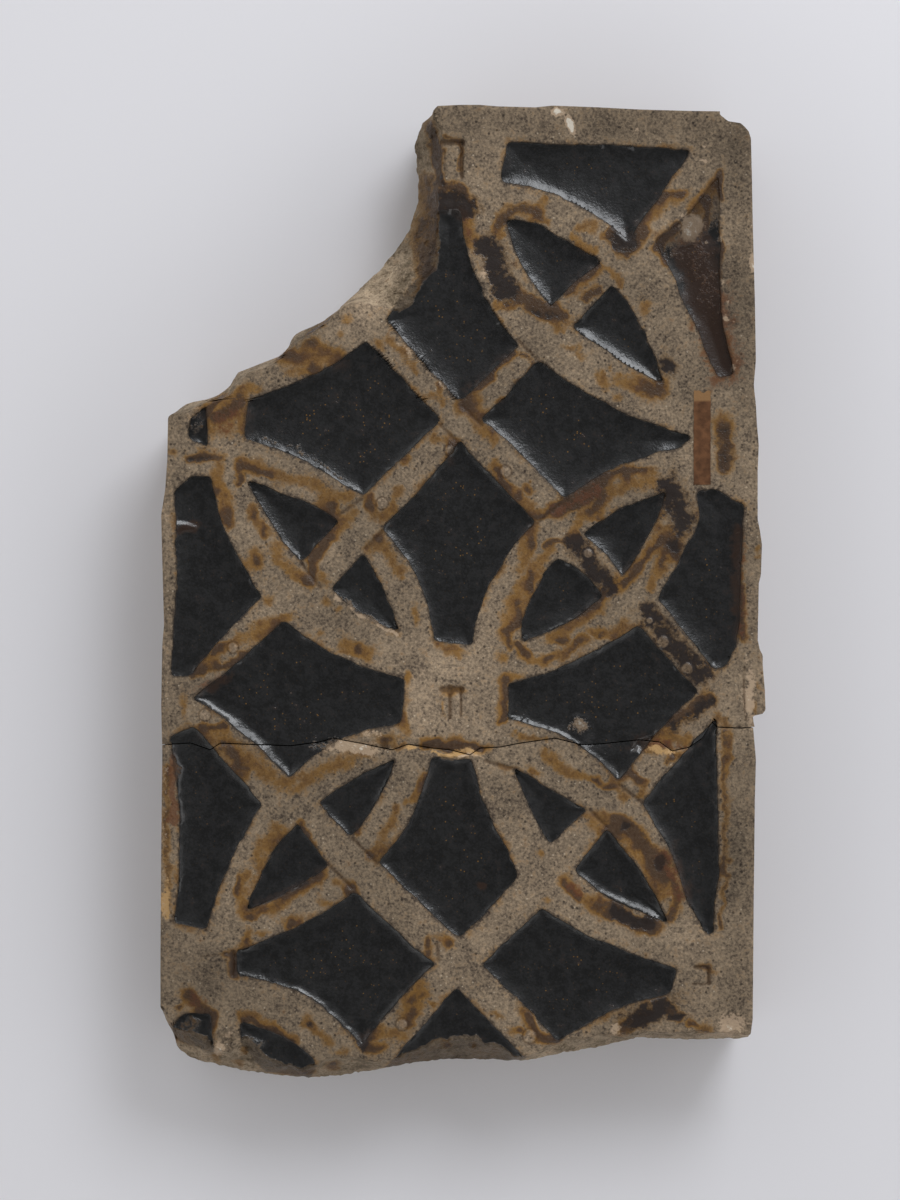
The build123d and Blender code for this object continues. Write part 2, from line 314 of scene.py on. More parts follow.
CRACK = (
    (-83.0, -13.4), (-74.9, -12.9), (-69.3, -14.8), (-66.5, -12.9), (-59.5, -13.2), (-46.9, -13.7),
    (-38.5, -12.6), (-34.9, -11.5), (-27.3, -12.9), (-18.3, -14.8), (-13.9, -13.2), (-7.1, -14.3),
    (-2.1, -14.8), (3.5, -16.2), (6.3, -14.3), (11.9, -14.0), (17.5, -12.9), (27.3, -11.5),
    (35.1, -13.4), (39.9, -13.2), (51.1, -12.0), (56.7, -12.6), (60.1, -15.1), (65.1, -14.0),
    (68.7, -11.5), (71.3, -7.0), (72.9, -8.4), (79.1, -8.7), (84.0, -8.4),
)

BROKEN_END = (
    (-83.2, -88.0), (-82.2, -91.3), (-80.2, -95.2), (-79.1, -99.4), (-75.2, -102.2), (-67.1, -104.4),
    (-58.9, -106.1), (-50.8, -107.0), (-42.7, -107.7), (-33.2, -107.2), (-25.1, -105.8),
    (-15.0, -103.9), (-4.6, -102.5), (2.1, -102.5), (13.0, -103.0), (20.3, -102.8), (27.9, -101.1),
    (39.6, -99.1), (50.3, -96.3), (65.4, -96.9), (78.8, -96.6), (82.5, -96.0),
)

# Where the flat face stops short of the two breaks
UPPER_ARRIS = (
    (-81.0, 79.0), (-76.2, 79.7), (-70.0, 82.6), (-64.7, 83.5), (-61.5, 88.0), (-58.7, 90.5),
    (-50.0, 94.0), (-47.2, 97.0), (-45.0, 99.4), (-40.5, 101.5), (-36.0, 105.5), (-32.9, 109.2),
    (-27.3, 110.9), (-20.3, 108.9), (-16.7, 108.1), (-13.3, 110.0), (-10.5, 114.5), (-6.0, 120.1),
    (-4.9, 123.8), (-4.9, 132.2), (-5.7, 137.2), (-4.6, 144.8), (-4.1, 149.0), (-4.3, 156.0),
    (-4.9, 161.0), (-7.0, 163.5),
)

LOWER_ARRIS = (
    (81.9, -94.4), (67.9, -93.2), (53.9, -94.1), (39.9, -94.4), (27.9, -96.3), (17.8, -101.1),
    (11.6, -97.4), (4.1, -94.9), (-1.3, -94.6), (-6.0, -96.3), (-11.3, -98.8), (-18.3, -101.4),
    (-25.6, -101.1), (-31.5, -100.2), (-39.1, -102.2), (-42.1, -103.9), (-48.9, -103.0),
    (-54.2, -100.0), (-58.9, -94.6), (-63.7, -98.8), (-69.0, -97.7), (-70.4, -94.6), (-79.1, -92.7),
    (-82.6, -87.0),
)

# Lap lines, where one band goes under another, then the strokes of the stamped marks
LAP_CUTS = (
    Cut(-2.5, 74.0, 135, 7.0), Cut(4.0, 79.0, 135, 8.0), Cut(20.0, 97.0, 135, 9.0),
    Cut(25.5, 51.5, 40, 9.0), Cut(-30.5, 53.0, 35, 9.0), Cut(-23.5, 44.0, 45, 6.5),
    Cut(-41.0, 34.0, 128, 9.0), Cut(12.0, -19.0, 165, 9.0), Cut(39.5, -34.0, 135, 7.0),
    Cut(-5.5, -71.5, 95, 5.0), Cut(-26.0, -43.0, 135, 10.0), Cut(-33.0, -50.0, 135, 10.0),
    Cut(48.5, -27.0, 142, 8.0), Cut(80.4, 1.0, 92, 15.0, 0.8, 0.6),
    Cut(-20.4, -13.0, 100, 2.4, 2.2, 0.9),
)

STAMP_STROKES = (
    Cut(-1.6, 2.2, 0, 6.0, 1.8, 0.9), Cut(-2.1, -1.5, 90, 9.0, 1.2, 0.7),
    Cut(1.0, -1.8, 90, 8.0, 0.9, 0.6), Cut(-1.5, 155.4, 0, 6.0, 1.6, 0.9),
    Cut(1.2, 150.5, 90, 10.0, 1.2, 0.8), Cut(-3.6, 149.4, 90, 7.0, 0.8, 0.4),
    Cut(68.2, -75.6, 0, 3.4, 1.2, 0.8), Cut(70.4, -77.9, 90, 3.6, 1.2, 0.8),
    Cut(68.4, -80.4, 0, 5.0, 0.8, 0.5), Cut(-62.9, -74.8, 90, 7.0, 1.8, 0.9),
    Cut(-68.0, -72.2, 8, 7.0, 0.8, 0.4),
)

# Round nubs of pale clay left standing on the bands
NUBS = ovals(
    (-21.1, 54.3, 3.0, 3.0), (-70.7, -5.0, 3.0, 3.0), (57.5, 15.4, 3.6, 3.6), (64.3, 8.1, 3.4, 3.4),
    (36.5, 40.3, 2.8, 2.8), (-62.9, 14.0, 2.8, 2.8), (-15.5, -91.6, 3.1, 3.1), (20.3, -94.9, 3.6, 3.6),
    (-2.1, 69.2, 2.8, 2.8), (53.8, 21.4, 2.0, 2.0), (13.4, 63.2, 3.0, 3.0))

# Places where the face has flaked. The strength is how deep, in millimetres.
FLAKES = ovals(
    (-2.1, -14.0, 15.0, 3.8, 0, 0.9), (-29.8, -14.0, 15.0, 3.4, -4, 0.5),
    (56.7, -13.6, 11.5, 5.6, 0, 0.8), (-65.7, -96.9, 5.0, 5.6, 0, 1.0),
    (-81.8, -56.8, 2.4, 8.6, 0, 0.6), (77.4, -91.8, 6.4, 5.8, 0, 0.5), (81.8, 0.3, 2.6, 13.4, 0, 0.5),
    (34.3, -7.8, 5.6, 5.6, 0, -0.2), (65.1, 131.3, 5.6, 6.6, 0, -0.6), (-76.3, 47.6, 5.6, 2.4, 0, -0.4))

# Where the glaze ran or thinned out, and stains, bare clay, painted highlights and lime, by kind
MARKS: dict[Tint, tuple[Oval | Streak, ...]] = {
    Tint.SPILL: ovals(
        (46.4, 127.8, 6, 5), (24.6, 107.0, 7, 2.4, -15, 0.6), (58.9, 92.6, 5, 3.6, -60),
        (60.6, 42.6, 2.8, 3.6), (57.0, -46.6, 2.2, 3.2), (47.4, -36.6, 2.4, 2.0),
        (54.0, -88.4, 14, 5.4, 22), (61.6, -89.8, 4.0, 2.2), (-41.4, -91.6, 1.4, 1.6, 0, 0.8),
        (-26.0, -97.4, 2.6, 4.6)) + streaks(
        ((8.5, 126.6), (11.0, 121.0), (13.5, 113.6), 5.6),
        ((-4.0, 138.6), (-1.0, 139.6), (3.0, 137.2), 5.0),
        ((44.0, -60.4), (48.0, -62.4), (53.0, -63.2), 2.8)) + (
        # This streak darkens the top of the upper-left break
        Streak(((-7.0, 159.0), (-5.8, 152.0), (-5.0, 144.0)), 1.6, 0.7),
        Streak(((58.6, 59.6), (60.8, 54.0), (63.0, 49.0)), 6.0, 0.9),
        Streak(((53.6, 23.0), (60.0, 15.4), (68.0, 6.0)), 6.0, 0.85),
        Streak(((32.6, 43.4), (38.0, 36.4), (43.0, 30.6)), 4.2, 0.9),
        Streak(((60.0, -8.4), (65.0, -5.6), (71.0, -1.0)), 3.0, 0.7),
        Streak(((74.8, 65.0), (74.8, 74.6)), 2.4, 0.45),
        Streak(((-42.0, -51.8), (-56.0, -58.2)), 1.2, 0.8),
        Streak(((-74.6, 66.9), (-70.0, 67.2)), 1.6, 0.7)),
    Tint.THIN: ovals(
        (70.6, 139.0, 3.2, 8.0, -12, 0.9), (-73.0, 76.0, 3.0, 4.0, 0, 0.6),
        (-74.0, -92.0, 5.0, 3.0, 10, 0.7), (-57.0, -97.0, 4.0, 3.0, -35, 0.7)) + streaks(
        ((73.0, 147.0), (71.0, 138.0), (64.0, 131.4), (57.0, 129.6), 8.0)) + (
        Streak(((60.0, 126.0), (68.0, 125.0), (71.6, 112.0)), 7.0, 0.42),
        Streak(((-79.8, -18.0), (-79.5, -34.0)), 2.0, 0.9)),
    Tint.BROWN: ovals(
        (-66.5, 58.0, 5.5, 3.0, -35, 0.45), (54.6, 86.0, 7.0, 3.2, -10), (3.2, 81.4, 5.4, 3.2, 20),
        (-46.0, 95.4, 5.6, 2.2), (-41.0, 98.8, 3.4, 2.8), (-40.6, 92.2, 3, 2), (-79.6, 68.4, 2.4, 2.0),
        (-64.2, 50.2, 1.8, 4.4), (-57.2, 51.4, 1.8, 3.4, -60), (-53.8, 46.6, 1.0, 3.2),
        (-56.4, 38.0, 2.0, 2.8), (-42.4, 32.4, 3.4, 1.8, -35), (-35.0, 53.0, 1.6, 3.2),
        (-27.6, 13.0, 2.4, 3.0), (-66.4, 13.4, 4.0, 1.8, 40), (-24.2, 54.2, 1.8, 3.0),
        (-22.4, 45.0, 1.6, 1.8), (-2.0, 70.2, 1.4, 3.6), (17.8, 56.0, 1.8, 1.6), (20.0, 58.4, 1.4, 1.6),
        (20.4, 42.8, 2.0, 2.8), (47.4, 62.0, 2.2, 2.2), (25.0, 11.0, 3.2, 1.6),
        (33.2, 14.6, 4.8, 2.8, 35), (29.4, 16.0, 3.2, 2.0), (39.6, 17.0, 2.0, 1.6),
        (13.6, 5.6, 2.2, 2.0), (60.2, 42.4, 5.2, 5.4, 60), (57.8, 37.6, 1.6, 3.6),
        (-20.0, -11.6, 5.0, 2.8), (-16.4, -13.6, 4.0, 1.4), (-6.6, -13.4, 3.6, 1.7),
        (39.0, -23.8, 2.6, 1.6), (42.6, -25.0, 2.4, 1.4), (-24.0, -44.4, 2.4, 2.8),
        (-43.0, -38.0, 1.6, 5.0, 15), (-61.2, -53.0, 1.2, 4.6), (-58.0, -61.8, 2.8, 2.0),
        (-30.0, -53.6, 2.0, 2.6), (-46.8, -63.0, 2.2, 1.4), (-59.0, -68.0, 1.4, 1.5),
        (-8.4, -69.4, 2.2, 4.4), (-2.4, -69.2, 2.6, 1.7), (34.3, -7.8, 7.2, 7.2, 0, 0.7),
        (57.0, -46.4, 5.4, 4.6), (53.6, -46.0, 1.6, 5.0, 20), (40.0, -58.6, 3.4, 2.4),
        (70.0, -76.0, 3.8, 1.5, -15), (-78.0, -86.8, 2.2, 1.2), (-35.0, -103.6, 3.6, 1.7),
        (-23.0, -98.8, 3.6, 2.2), (17.4, -93.8, 1.8, 1.1), (69.6, -92.6, 3.8, 2.8),
        (66.6, -91.4, 2.6, 1.0), (76.4, -45.6, 1.6, 1.8), (75.4, -50.0, 2.0, 1.4)) + streaks(
        # This streak and the one two lines down darken the upper-left break
        ((-8.0, 160.4), (-6.6, 156.0), (-5.4, 150.0), (-5.2, 143.4), 2.6),
        ((-3.4, 156.2), (0.4, 155.6), (1.4, 147.4), 0.9),
        ((-10.0, 133.6), (-9.6, 127.0), (-8.4, 120.0), 5.6),
        ((-6.6, 140.0), (-4.0, 143.2), (0.4, 143.2), (3.8, 138.6), 2.0),
        ((11.6, 132.8), (14.0, 135.8), (18.6, 137.0), (22.4, 135.8), 2.4),
        ((43.2, 129.4), (46.8, 124.6), (50.2, 127.2), 2.8), ((51.6, 128.4), (53.0, 131.0), 2.0),
        ((55.6, 126.4), (58.0, 128.6), (61.0, 131.6), 2.2),
        ((57.0, 139.4), (60.0, 140.8), (63.4, 140.8), 1.6), ((73.4, 147.0), (73.5, 139.0), 1.6),
        ((69.8, 139.0), (69.6, 132.0), (70.4, 127.0), 1.9), ((73.6, 128.0), (74.0, 118.0), 1.4),
        ((17.0, 111.4), (20.0, 109.8), (24.0, 107.8), (29.4, 106.2), 3.6),
        ((30.0, 112.4), (34.4, 116.6), (39.2, 121.2), 1.5), ((36.4, 111.4), (39.6, 114.2), 2.0),
        ((1.8, 85.0), (7.0, 88.8), (14.8, 96.0), 1.6),
        ((16.0, 88.0), (19.0, 89.0), (21.0, 92.6), (19.4, 96.0), (17.0, 95.6), 1.0),
        ((-43.0, 101.4), (-38.0, 104.2), (-35.6, 106.6), 0.9),
        ((-67.6, 78.8), (-63.0, 80.6), (-61.0, 83.0), 2.8), ((-71.6, 79.0), (-65.6, 84.4), 1.6),
        ((-75.0, 66.8), (-71.0, 67.4), (-66.0, 67.0), 2.4),
        ((-61.2, 60.4), (-60.4, 65.2), (-53.0, 61.8), 1.8),
        ((-73.6, 6.6), (-68.0, 8.4), (-61.6, 9.4), (-58.6, 12.0), 2.0),
        ((-40.6, 31.4), (-40.0, 39.0), (-36.0, 44.0), 1.8),
        ((11.0, 64.4), (12.6, 60.8), (14.8, 58.2), 1.4), ((22.0, 50.6), (26.8, 52.6), 1.2),
        ((24.4, 42.2), (27.0, 43.8), (31.0, 44.0), (33.4, 41.4), 1.0),
        ((37.6, 51.8), (41.0, 57.2), 2.4), ((40.0, 61.2), (46.0, 63.8), (52.6, 63.8), 1.2),
        ((15.2, 13.8), (13.2, 18.0), (17.4, 22.0), (16.8, 26.4), 1.5),
        ((19.8, 30.8), (20.6, 34.2), 1.4), ((17.0, 14.8), (19.8, 11.6), 1.8),
        ((33.0, 22.6), (39.0, 25.8), (41.0, 29.6), 1.0), ((13.4, 3.4), (13.4, -5.0), (11.4, -7.0), 1.1),
        ((47.0, 32.0), (50.0, 36.0), (57.6, 45.0), 1.4),
        ((79.6, 30.4), (78.8, 24.0), (79.8, 17.0), 2.6),
        ((58.0, -6.8), (63.0, -4.2), (70.0, -0.4), 2.8),
        ((-66.0, -14.2), (-62.6, -16.2), (-60.4, -19.0), 2.6), ((-72.0, -8.4), (-66.0, -8.4), 1.4),
        ((58.6, -12.8), (60.4, -16.8), (58.6, -18.2), 1.6), ((47.8, -20.4), (50.4, -23.4), 2.4),
        ((-64.0, -71.8), (-62.0, -73.6), (-62.4, -77.4), 2.0),
        ((46.6, -35.4), (49.6, -37.6), (52.6, -42.2), 1.5),
        ((60.0, -50.0), (62.0, -57.0), (60.0, -61.0), 2.4), ((30.0, -52.4), (33.6, -56.8), 1.3),
        ((43.0, -59.8), (48.0, -62.8), (54.4, -64.4), 3.6),
        ((-76.0, -84.0), (-72.6, -86.0), (-69.4, -89.6), 2.8),
        ((-60.0, -90.4), (-56.0, -91.4), (-50.0, -94.0), (-46.0, -97.0), 1.3),
        ((19.0, -89.4), (21.0, -92.6), (24.6, -96.0), (28.0, -95.8), 1.6),
        ((46.0, -92.4), (52.0, -89.4), (58.0, -86.0), (62.0, -90.0), 2.4)) + (
        Streak(((75.2, -10.0), (75.2, -44.0)), 2.0, 0.55),
        Streak(((74.8, 64.4), (74.8, 75.2)), 3.6, 1.0),
        # This streak darkens the upper-left break
        Streak(((-8.8, 145.0), (-8.8, 134.0)), 4.4, 0.8),
        Streak(((28.4, 52.4), (33.0, 54.6), (37.0, 57.0), (40.4, 60.0)), 3.8, 1.4),
        Streak(((-59.8, -61.8), (-55.0, -60.8), (-50.0, -57.8), (-38.6, -49.4)), 1.2, 0.5),
        Streak(((44.6, -34.6), (50.0, -38.6), (54.0, -43.6), (57.6, -50.6)), 4.0, 1.2),
        Streak(((-81.6, -20.0), (-81.4, -58.0)), 1.8, 0.8),
        Streak(((-9.0, -13.2), (-3.0, -13.4), (3.0, -15.0), (6.0, -14.2)), 1.8, 1.6),
        Streak(((74.6, -6.0), (75.0, -40.0), (73.8, -64.0)), 1.3, 0.8),
        Streak(((-10.4, -83.4), (-12.6, -87.0), (-14.0, -91.0)), 2.4, 0.7)),
    Tint.AMBER: ovals(
        (52.5, 109.0, 2.2, 4.4, 10), (43.0, 92.3, 1.5, 1.5), (45.3, 84.0, 2.4, 2.0),
        (-21.3, 98.7, 2.6, 2.2), (-6.3, 84.0, 3.0, 1.4, -25), (11.8, 83.2, 3.0, 1.1, 35),
        (-43.6, 91.0, 6.5, 2.2), (-33.0, 101.5, 1.5, 1.7), (-31.0, 106.0, 2.8, 2.1),
        (-64.4, 78.4, 9.0, 9.0), (73.8, 77.4, 4.6, 3.6), (-56.6, 38.4, 4.6, 6.0),
        (-52.3, 27.3, 2.2, 2.2), (-47.5, 22.4, 3.8, 2.0), (-36.5, 27.3, 2.0, 2.4),
        (-34.0, 25.0, 1.6, 1.4), (-38.0, 18.2, 2.0, 1.6), (-77.0, -3.0, 2.0, 5.0),
        (-37.4, 33.2, 2.0, 4.0), (-14.5, 66.0, 2.2, 2.0), (-11.3, 22.4, 2.2, 4.2),
        (-15.7, 32.7, 1.3, 1.3), (-0.9, 12.8, 6.2, 1.9), (-1.0, 1.4, 5.0, 2.0), (-3.7, -3.5, 1.1, 4.0),
        (-14.3, 5.8, 1.7, 2.4), (19.9, 58.4, 2.4, 2.6), (12.2, 11.6, 3.4, 2.4), (15.7, 5.8, 4.4, 1.7),
        (78.5, 34.0, 1.8, 6.0), (84.0, 42.0, 1.4, 1.6), (84.0, 39.4, 1.2, 1.2), (84.0, 3.0, 1.4, 2.0),
        (83.0, -3.0, 1.2, 4.6), (-14.6, -8.6, 2.2, 4.4), (13.2, -19.4, 3.0, 1.2),
        (22.1, -20.5, 3.8, 1.6, -35), (61.0, -15.8, 4.6, 1.7), (-27.6, -37.2, 1.6, 2.4),
        (-43.6, -34.2, 2.0, 1.4), (-38.0, -56.8, 2.8, 2.0), (-46.4, -62.6, 5.4, 2.6, 25),
        (-59.0, -68.0, 3.0, 4.0), (-55.0, -66.2, 3.4, 1.5, 15), (-4.0, -67.8, 4.0, 1.9, -30),
        (23.6, -43.6, 1.2, 2.0), (54.3, -64.9, 4.8, 2.0), (24.3, -56.8, 1.5, 1.7),
        (-32.6, -99.0, 3.4, 2.2), (-34.0, -105.3, 3.2, 1.1), (-42.8, -105.6, 3.6, 1.0),
        (-67.6, -101.4, 2.4, 2.6), (-61.8, -103.0, 2.2, 1.4), (-60.0, -98.8, 2.2, 2.2),
        (-21.8, -97.6, 3.6, 3.0), (-7.4, -85.6, 1.8, 1.2), (11.2, -89.4, 2.8, 1.2, -20),
        (17.0, -93.8, 3.2, 2.0), (76.0, -14.6, 1.5, 8.6), (66.0, -91.6, 3.2, 1.4),
        (-3.4, -97.4, 1.4, 1.2), (4.0, -97.4, 1.2, 1.5), (-75.6, -84.4, 3.2, 3.0),
        (-68.2, -91.4, 1.5, 2.8)) + streaks(
        ((2.6, 136.6), (3.4, 131.0), (4.2, 127.8), 2.8), ((21.0, 135.6), (24.6, 139.6), 2.0),
        ((21.0, 134.8), (25.0, 133.8), 1.6), ((10.8, 131.6), (12.0, 129.8), 1.8),
        ((34.0, 131.2), (38.0, 131.4), 2.2), ((32.0, 128.6), (36.0, 126.2), (38.4, 125.0), 1.9),
        ((41.0, 129.6), (44.0, 130.2), 1.8),
        ((50.8, 131.0), (53.5, 134.5), (57.0, 138.4), (63.0, 140.4), 3.2),
        ((66.0, 137.0), (69.5, 140.0), (71.0, 143.0), 2.8), ((56.0, 125.6), (58.3, 122.0), 2.2),
        ((11.5, 109.6), (15.0, 109.4), 1.5), ((20.0, 111.0), (25.0, 108.8), 1.4),
        ((27.6, 108.8), (29.6, 107.2), 1.7), ((26.8, 104.6), (28.8, 102.0), 1.7),
        ((31.0, 98.6), (33.5, 98.0), (35.3, 95.3), 1.9),
        ((33.0, 114.5), (36.5, 117.5), (39.3, 119.8), 3.2),
        ((41.8, 119.6), (44.0, 118.0), (46.3, 115.6), 1.7), ((39.6, 89.8), (41.5, 87.2), 2.4),
        ((45.2, 89.6), (49.0, 87.8), (54.0, 86.2), (57.0, 86.4), 3.2),
        ((-18.6, 99.6), (-15.6, 97.4), (-14.0, 94.0), (-11.4, 90.3), 1.8),
        ((-4.9, 87.6), (-4.2, 81.2), 1.3), ((2.5, 85.8), (8.0, 89.6), (12.0, 93.0), (14.6, 95.6), 2.4),
        ((1.5, 81.0), (5.0, 83.5), (5.3, 79.0), 3.2),
        ((-61.0, 85.4), (-58.6, 87.0), (-56.0, 85.8), 2.8),
        ((-66.8, 63.5), (-66.2, 58.0), (-65.2, 54.0), (-63.8, 49.0), 2.6),
        ((-61.0, 65.0), (-56.0, 65.0), (-52.0, 62.4), (-42.0, 60.2), (-31.0, 55.4), 3.0),
        ((-37.5, 57.0), (-35.5, 53.5), (-34.6, 51.2), 3.2),
        ((-57.6, 52.6), (-55.6, 49.5), (-53.8, 45.6), 2.0),
        ((-51.6, 42.4), (-49.6, 38.0), (-46.0, 35.0), (-42.0, 32.2), 2.6),
        ((-31.5, 14.6), (-28.0, 12.8), (-25.4, 12.2), 3.4),
        ((-71.5, 8.6), (-66.0, 13.0), (-60.0, 16.6), (-52.0, 20.6), 2.8),
        ((-40.0, 35.5), (-39.4, 40.0), (-35.6, 44.6), (-32.6, 49.4), (-29.0, 51.6), 2.8),
        ((-24.5, 55.5), (-24.0, 51.5), (-21.0, 50.8), (-18.0, 53.0), (-17.0, 57.5), 2.4),
        ((-6.0, 71.6), (-2.4, 73.4), (-1.4, 69.5), (-2.6, 67.0), 2.2),
        ((-24.4, 42.4), (-20.6, 42.4), (-18.4, 38.5), (-16.8, 35.2), 2.8),
        ((4.2, 78.0), (6.6, 75.0), (9.4, 71.8), 2.2),
        ((10.8, 65.8), (11.4, 62.0), (14.0, 59.0), (18.0, 55.8), 2.3),
        ((20.2, 54.4), (21.2, 51.6), (24.0, 51.2), (27.4, 52.6), 2.0),
        ((20.6, 46.4), (19.4, 42.0), (18.4, 38.0), (17.4, 35.6), 3.4),
        ((21.4, 35.6), (23.5, 38.4), (26.0, 41.6), 2.4),
        ((32.6, 44.6), (32.8, 47.4), (36.0, 50.6), (40.5, 50.2), 1.8),
        ((31.0, 54.8), (37.0, 59.4), (42.0, 61.0), (47.0, 63.0), (54.5, 63.0), 2.4),
        ((35.0, 50.0), (39.5, 53.5), (43.0, 57.0), (48.0, 60.0), (53.6, 60.4), 2.6),
        ((13.6, 17.5), (14.2, 23.0), (15.6, 27.0), (18.4, 31.0), (20.4, 33.8), 3.2),
        ((18.6, 12.5), (21.0, 10.4), (25.0, 10.2), (29.0, 11.6), (35.4, 16.6), 2.2),
        ((26.5, 16.0), (30.5, 18.8), (34.6, 21.6), (38.6, 24.4), (40.8, 28.0), 2.8),
        ((37.6, 18.8), (40.0, 17.4), (43.4, 17.6), (46.6, 20.6), 2.2),
        ((12.4, 4.6), (12.4, -1.0), (12.0, -6.4), 2.3),
        ((46.0, 31.4), (48.6, 35.0), (52.0, 39.0), (58.4, 45.4), 3.2),
        ((54.0, 30.2), (55.6, 34.0), (56.8, 38.4), (59.6, 40.0), 2.4),
        ((-71.4, -10.0), (-67.0, -9.8), (-64.0, -12.6), (-61.0, -15.0), (-60.0, -20.5), 3.2),
        ((-58.6, -16.6), (-54.0, -21.6), (-50.0, -24.6), (-46.0, -25.8), (-42.0, -23.2),
         (-33.0, -18.2), (-25.0, -15.4), 3.4),
        ((-9.6, -13.0), (-5.0, -12.4), (0.0, -12.6), (2.4, -15.0), (8.6, -14.0), 2.4),
        ((16.0, -10.4), (18.8, -12.2), (24.6, -12.0), 1.2),
        ((24.6, -15.6), (27.0, -18.0), (29.4, -20.4), (34.0, -21.6), (44.0, -25.4), (47.0, -28.0),
         2.3),
        ((54.5, -15.0), (57.6, -10.4), (63.8, -11.6), 2.8),
        ((47.8, -20.0), (52.4, -24.4), (51.0, -27.4), 1.6),
        ((-9.4, -22.6), (-11.4, -26.6), (-14.0, -29.4), 2.3),
        ((-17.0, -31.8), (-18.0, -35.0), (-20.4, -38.4), (-22.0, -42.4), 2.4),
        ((-50.6, -37.0), (-54.4, -41.0), (-56.4, -45.6), 3.8),
        ((-58.6, -49.6), (-60.4, -52.6), (-61.0, -58.4), 2.8),
        ((-60.6, -59.8), (-56.4, -60.8), (-51.0, -58.8), (-41.0, -52.4), (-38.0, -49.6), 2.6),
        ((-33.6, -50.6), (-31.4, -52.4), (-29.6, -54.2), 2.3),
        ((39.4, -34.6), (43.0, -36.6), (45.8, -36.0), (48.8, -39.0), (51.6, -43.0), (54.2, -47.4),
         (57.2, -55.4), 4.0),
        ((30.2, -51.6), (32.8, -54.6), (36.4, -57.4), (40.6, -58.6), 3.0),
        ((-60.4, -89.0), (-55.6, -90.0), (-50.0, -92.6), (-45.6, -95.6), 1.9),
        ((-42.4, -90.8), (-39.6, -94.0), (-36.0, -96.4), 1.9),
        ((-10.6, -82.4), (-12.6, -86.0), (-14.6, -90.0), 4.6),
        ((-24.8, -94.6), (-20.6, -94.0), (-16.6, -94.6), 2.8),
        ((18.0, -88.0), (20.0, -91.6), (23.0, -95.4), (27.4, -96.0), 2.7)) + (
        Streak(((-48.0, 95.0), (-43.0, 95.2), (-38.0, 96.5), (-33.6, 95.6)), 4.2, 1.6),),
    Tint.RUST: ovals(
        (59.5, -47.0, 9, 5, -60, 0.8), (62.3, -55.4, 6, 5, 0, 0.7), (32.9, -53.8, 5, 3.6, -50, 0.7),
        (-70.1, 3.1, 10, 3, 20, 0.8), (-4.3, -67.8, 3, 2, 0, 0.6), (2.7, 133.0, 10, 3, -80, 0.6),
        (7.4, -53.2, 2, 2), (-76.3, 47.6, 5.6, 2.2), (-73.5, -85.1, 5, 4, 0, 0.6),
        (56.7, -13.4, 11.5, 4.6, 0, 0.8), (-64.0, 78.0, 8, 8, 0, 0.6)) + streaks(
        ((66.0, 126.0), (71.0, 110.0), (75.0, 92.0), 9.0), ((-79.9, -17.0), (-79.6, -35.0), 1.8)) + (
        Streak(((27.0, 52.0), (33.0, 55.0), (40.0, 58.4)), 3.6, 0.7),
        Streak(((79.0, 46.0), (79.2, 17.0)), 3.4, 0.6)),
    Tint.OCHRE: ovals(
        (-0.6, -15.9, 12.5, 1.5), (-81.8, -56.8, 2.2, 8.4), (57.5, -15.0, 8, 2.2, 0, 0.8),
        (-12.6, -13.9, 4, 1.2)),
    Tint.PALE: ovals(
        (-66.8, -98.6, 2.6, 3.6, 25), (-64.2, -94.6, 2.0, 2.4, -30, 0.9),
        (-24.0, -10.6, 5.0, 1.4, 10, 0.8), (65.1, 131.3, 5.6, 6.4), (34.3, -7.8, 3.6, 3.4, 0, 1.15),
        (0.4, -16.6, 8.6, 0.9), (-29.8, -14.0, 15, 3.2, -4), (77.4, -91.8, 6.2, 5.6),
        (81.6, 0.3, 2.6, 13.4), (43.9, -92.7, 3.0, 2.0, 20), (31.6, 160.0, 2.2, 4.4, 18, 1.7),
        (28.2, 163.9, 3.0, 1.7, -25, 1.5), (82.1, 122.0, 1.6, 5.0), (-73.8, 80.0, 3.0, 6.0, -40, 0.4),
        (50.4, 158.5, 1.1, 1.1), (69.1, 154.0, 1.1, 1.3), (68.9, 150.2, 1.2, 1.0),
        (72.6, 154.4, 1.2, 1.0), (74.1, 128.5, 1.2, 1.6), (74.6, 117.0, 1.1, 1.3),
        (75.1, 110.0, 1.0, 1.1), (74.8, 106.4, 1.2, 1.2), (77.6, 91.9, 1.4, 1.6),
        (70.1, 127.4, 1.1, 1.1), (7.2, 118.4, 2.6, 2.6, 0, 0.7)) + (
        Streak(((72.0, 155.0), (74.0, 120.0), (77.6, 92.0)), 5.0, 0.2),
        # The next three strokes are painted highlights, where the lamp catches a lower-left edge
        Streak(((-34.4, 28.4), (-17.0, 17.6)), 1.2, 0.8),
        Streak(((-16.4, 99.8), (-1.0, 84.6)), 1.1, 0.6),
        Streak(((-57.0, 73.4), (-45.0, 70.0), (-33.0, 61.6)), 1.1, 0.5),
        Streak(((-81.9, 62.0), (-82.2, 20.0), (-82.2, -12.0), (-82.4, -62.0)), 1.6, 0.35)),
}

# Glaze edges that roll over in a thicker lip, deeper by this many millimetres
ROLLS = (
    Streak(((14.7, -6.8), (28.7, -12.2), (37.7, -17.8), (44.4, -22.7)), 4.0, 0.8),
    Streak(((-73.1, -0.5), (-62.1, -6.0), (-53.1, -14.0), (-47.1, -21.5)), 4.0, 0.6),
    Streak(((29.6, -51.2), (43.1, -56.4), (56.6, -61.6)), 4.0, 0.7),
    Streak(((61.0, 14.6), (71.0, 7.2)), 4.0, 0.6),
    Streak(((-61.9, -77.7), (-45.9, -82.2), (-35.9, -88.2), (-27.9, -97.2)), 4.0, 0.45))

